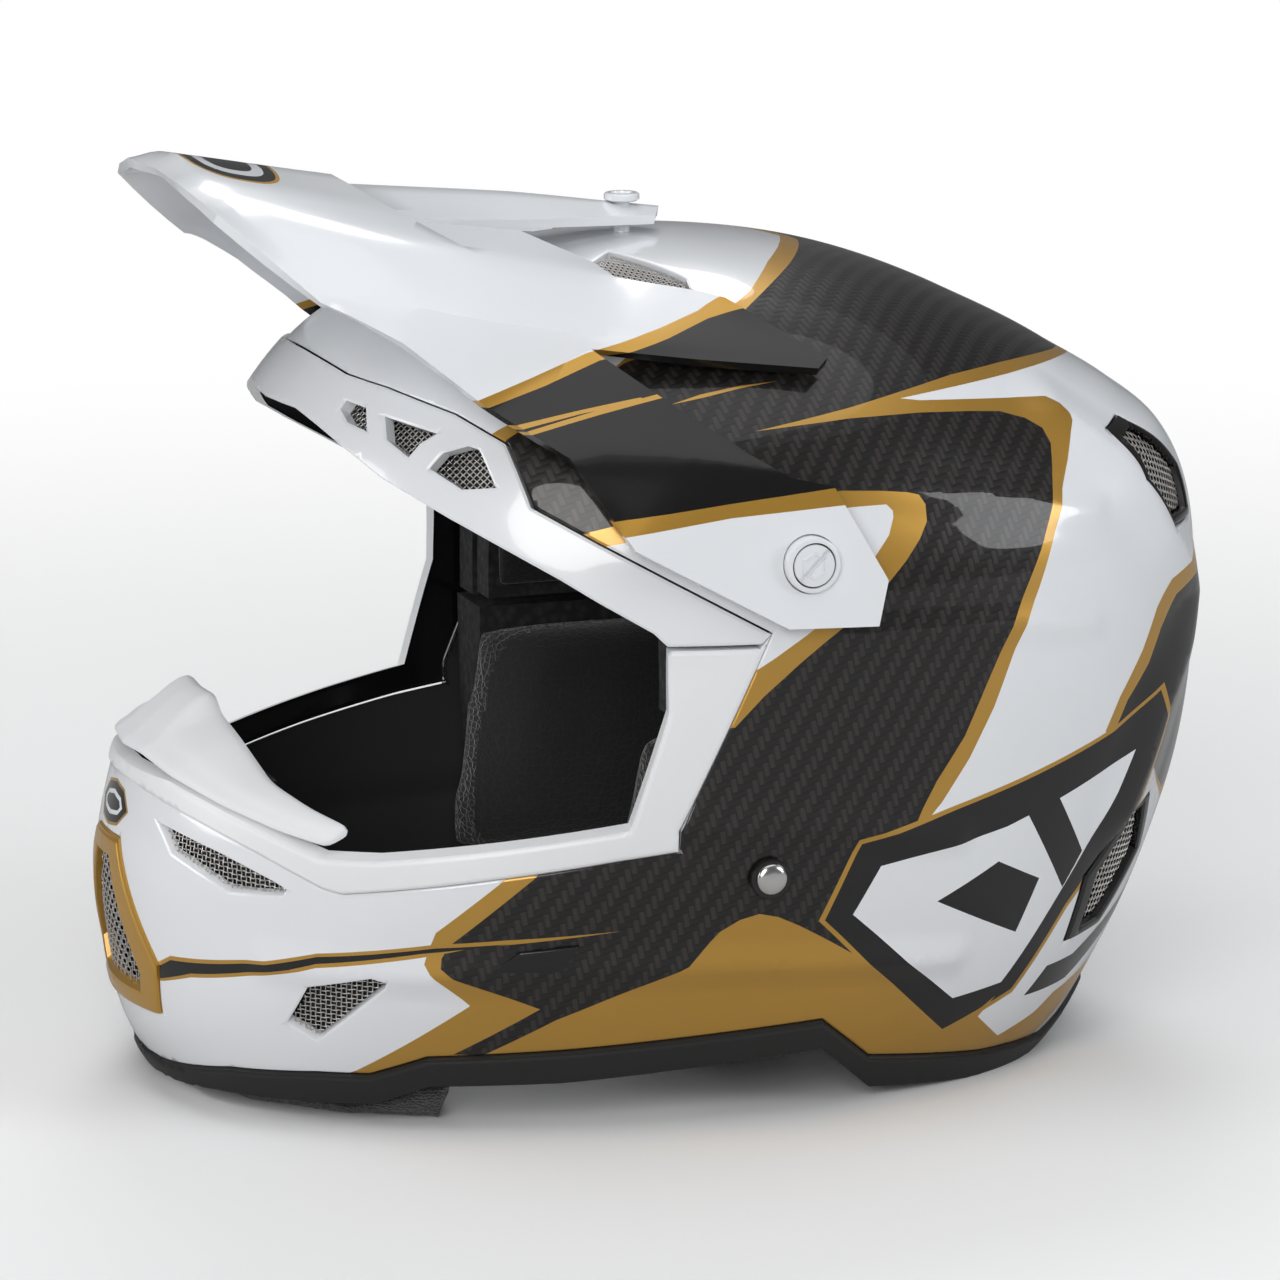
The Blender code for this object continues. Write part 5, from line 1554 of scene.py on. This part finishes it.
def makeStage():
    # a floor that curves up behind, one sheet for every view
    points, faces = [(0.0, 0.0, 0.0)], []
    flat, bend, around = stageForm["flat"], stageForm["bend"], stageForm["around"]
    rings = [(0.0, 0.0), (1.0, 0.0), (3.0, 0.0), (flat, 0.0)]
    for k in range(1, 9):
        a = math.radians(90 * k / 8)
        rings.append((flat + bend * math.sin(a), bend * (1 - math.cos(a))))
    rings.append((flat + bend, stageForm["top"]))
    for radius, height in rings[1:]:
        for i in range(around):
            a = 2 * math.pi * i / around
            points.append((radius * math.cos(a), radius * math.sin(a), height))
    for i in range(around):
        j = (i + 1) % around
        faces.append((0, 1 + i, 1 + j))
        for r in range(len(rings) - 2):
            a, b = 1 + r * around, 1 + (r + 1) * around
            faces.append((a + i, b + i, b + j, a + j))
    made = objectFrom("shadedHollows", points, faces, [])
    look, tree, shader = newMaterial("paleFloor")
    seen = tree.nodes.new("ShaderNodeLightPath").outputs["Is Camera Ray"]
    tree.links.new(addMix(tree, seen, (0.5, 0.5, 0.5), (0.95, 0.95, 0.95)), shader.inputs["Base Color"])
    setInputs(shader, {"Roughness": 0.9, "Specular IOR Level": 0.1})
    away = tree.nodes.new("ShaderNodeVectorMath")
    away.operation = "LENGTH"
    tree.links.new(objectPlace(tree), away.inputs[0])
    far = tree.nodes.new("ShaderNodeMapRange")
    far.interpolation_type = "SMOOTHSTEP"
    setInputs(far, {"From Min": stageForm["floorUntil"], "From Max": stageForm["whiteFrom"]})
    tree.links.new(away.outputs["Value"], far.inputs["Value"])
    glow = tree.nodes.new("ShaderNodeEmission")
    glow.inputs["Strength"].default_value = 1.0
    blend = tree.nodes.new("ShaderNodeMixShader")
    for number, output in enumerate((addProduct(tree, far.outputs[0], seen), shader.outputs[0],
                                     glow.outputs[0])):
        tree.links.new(output, blend.inputs[number])
    tree.links.new(blend.outputs[0], tree.nodes["Material Output"].inputs["Surface"])
    made.data.materials.append(look)


makeStage()

studio = {
    "distance": 1.85, "azimuth": 71.0, "elevation": 12.3,  # metres and degrees round from the front
    "lens": 166.5, "target": (0.0, 0.0002, 0.127), "lampTarget": (0, 0, 0.12),
    "lights": [  # name, place, size, power, colour
        ("overhead", (0.3, 0.1, 2.2), 2.4, 12.0, (1.0, 1.0, 1.0)),
        ("keySide", (2.0, -1.1, 1.0), 1.4, 27.0, (1.0, 0.99, 0.98)),
        ("rearSide", (1.3, 1.7, 0.8), 1.0, 13.0, (0.96, 0.98, 1.0)),
        ("frontFill", (-0.2, -2.0, 0.7), 1.0, 11.0, (1.0, 1.0, 1.0)),
        ("farSide", (-1.5, 0.5, 2.1), 1.0, 12.0, (1.0, 1.0, 1.0)),
    ],
    "sky": 0.42,
}


def aimAt(made, target):
    made.rotation_euler = (Vector(target) - made.location).to_track_quat("-Z", "Y").to_euler()


def makeStudio():
    world = bpy.data.worlds.new("studioWorld")
    bpy.context.scene.world = world
    world.use_nodes = True
    tree = world.node_tree
    back = tree.nodes["Background"]
    back.inputs[0].default_value = (0.95, 0.97, 1.0, 1)
    seen = tree.nodes.new("ShaderNodeLightPath").outputs["Is Camera Ray"]
    sky = studio["sky"]  # the camera sees white, and the helmet is lit by less
    tree.links.new(addMath(tree, "MULTIPLY_ADD", seen, 1.0 - sky, sky), back.inputs[1])
    for name, place, size, power, colour in studio["lights"]:
        data = bpy.data.lights.new(name, "AREA")
        data.shape = "DISK"
        data.size = size
        data.energy = power
        data.color = colour
        lamp = bpy.data.objects.new(name, data)
        lamp.location = place
        aimAt(lamp, studio["lampTarget"])
        bpy.context.scene.collection.objects.link(lamp)
    eye = bpy.data.cameras.new("camera")
    eye.lens = studio["lens"]
    eye.sensor_width = 36
    camera = bpy.data.objects.new("camera", eye)
    a, e = math.radians(studio["azimuth"]), math.radians(studio["elevation"])
    away = Vector((math.sin(a) * math.cos(e), -math.cos(a) * math.cos(e), math.sin(e)))
    camera.location = Vector(studio["target"]) + away * studio["distance"]
    aimAt(camera, studio["target"])
    bpy.context.scene.collection.objects.link(camera)
    bpy.context.scene.camera = camera
    bpy.context.scene.view_settings.view_transform = "Standard"


makeStudio()

keptLooks = (
    (crushFoam, ("outer_liner", "inner_liner", "cheek_block_left", "cheek_block_right", "chin_liner")),
    (orangeRubber, ("damper_left", "damper_right", "damper_crown", "damper_rear")),
)
for look, names in keptLooks:
    for name in names:
        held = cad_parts[name].data.materials
        held.clear()
        held.append(look)
print("finishes on the kept pieces")
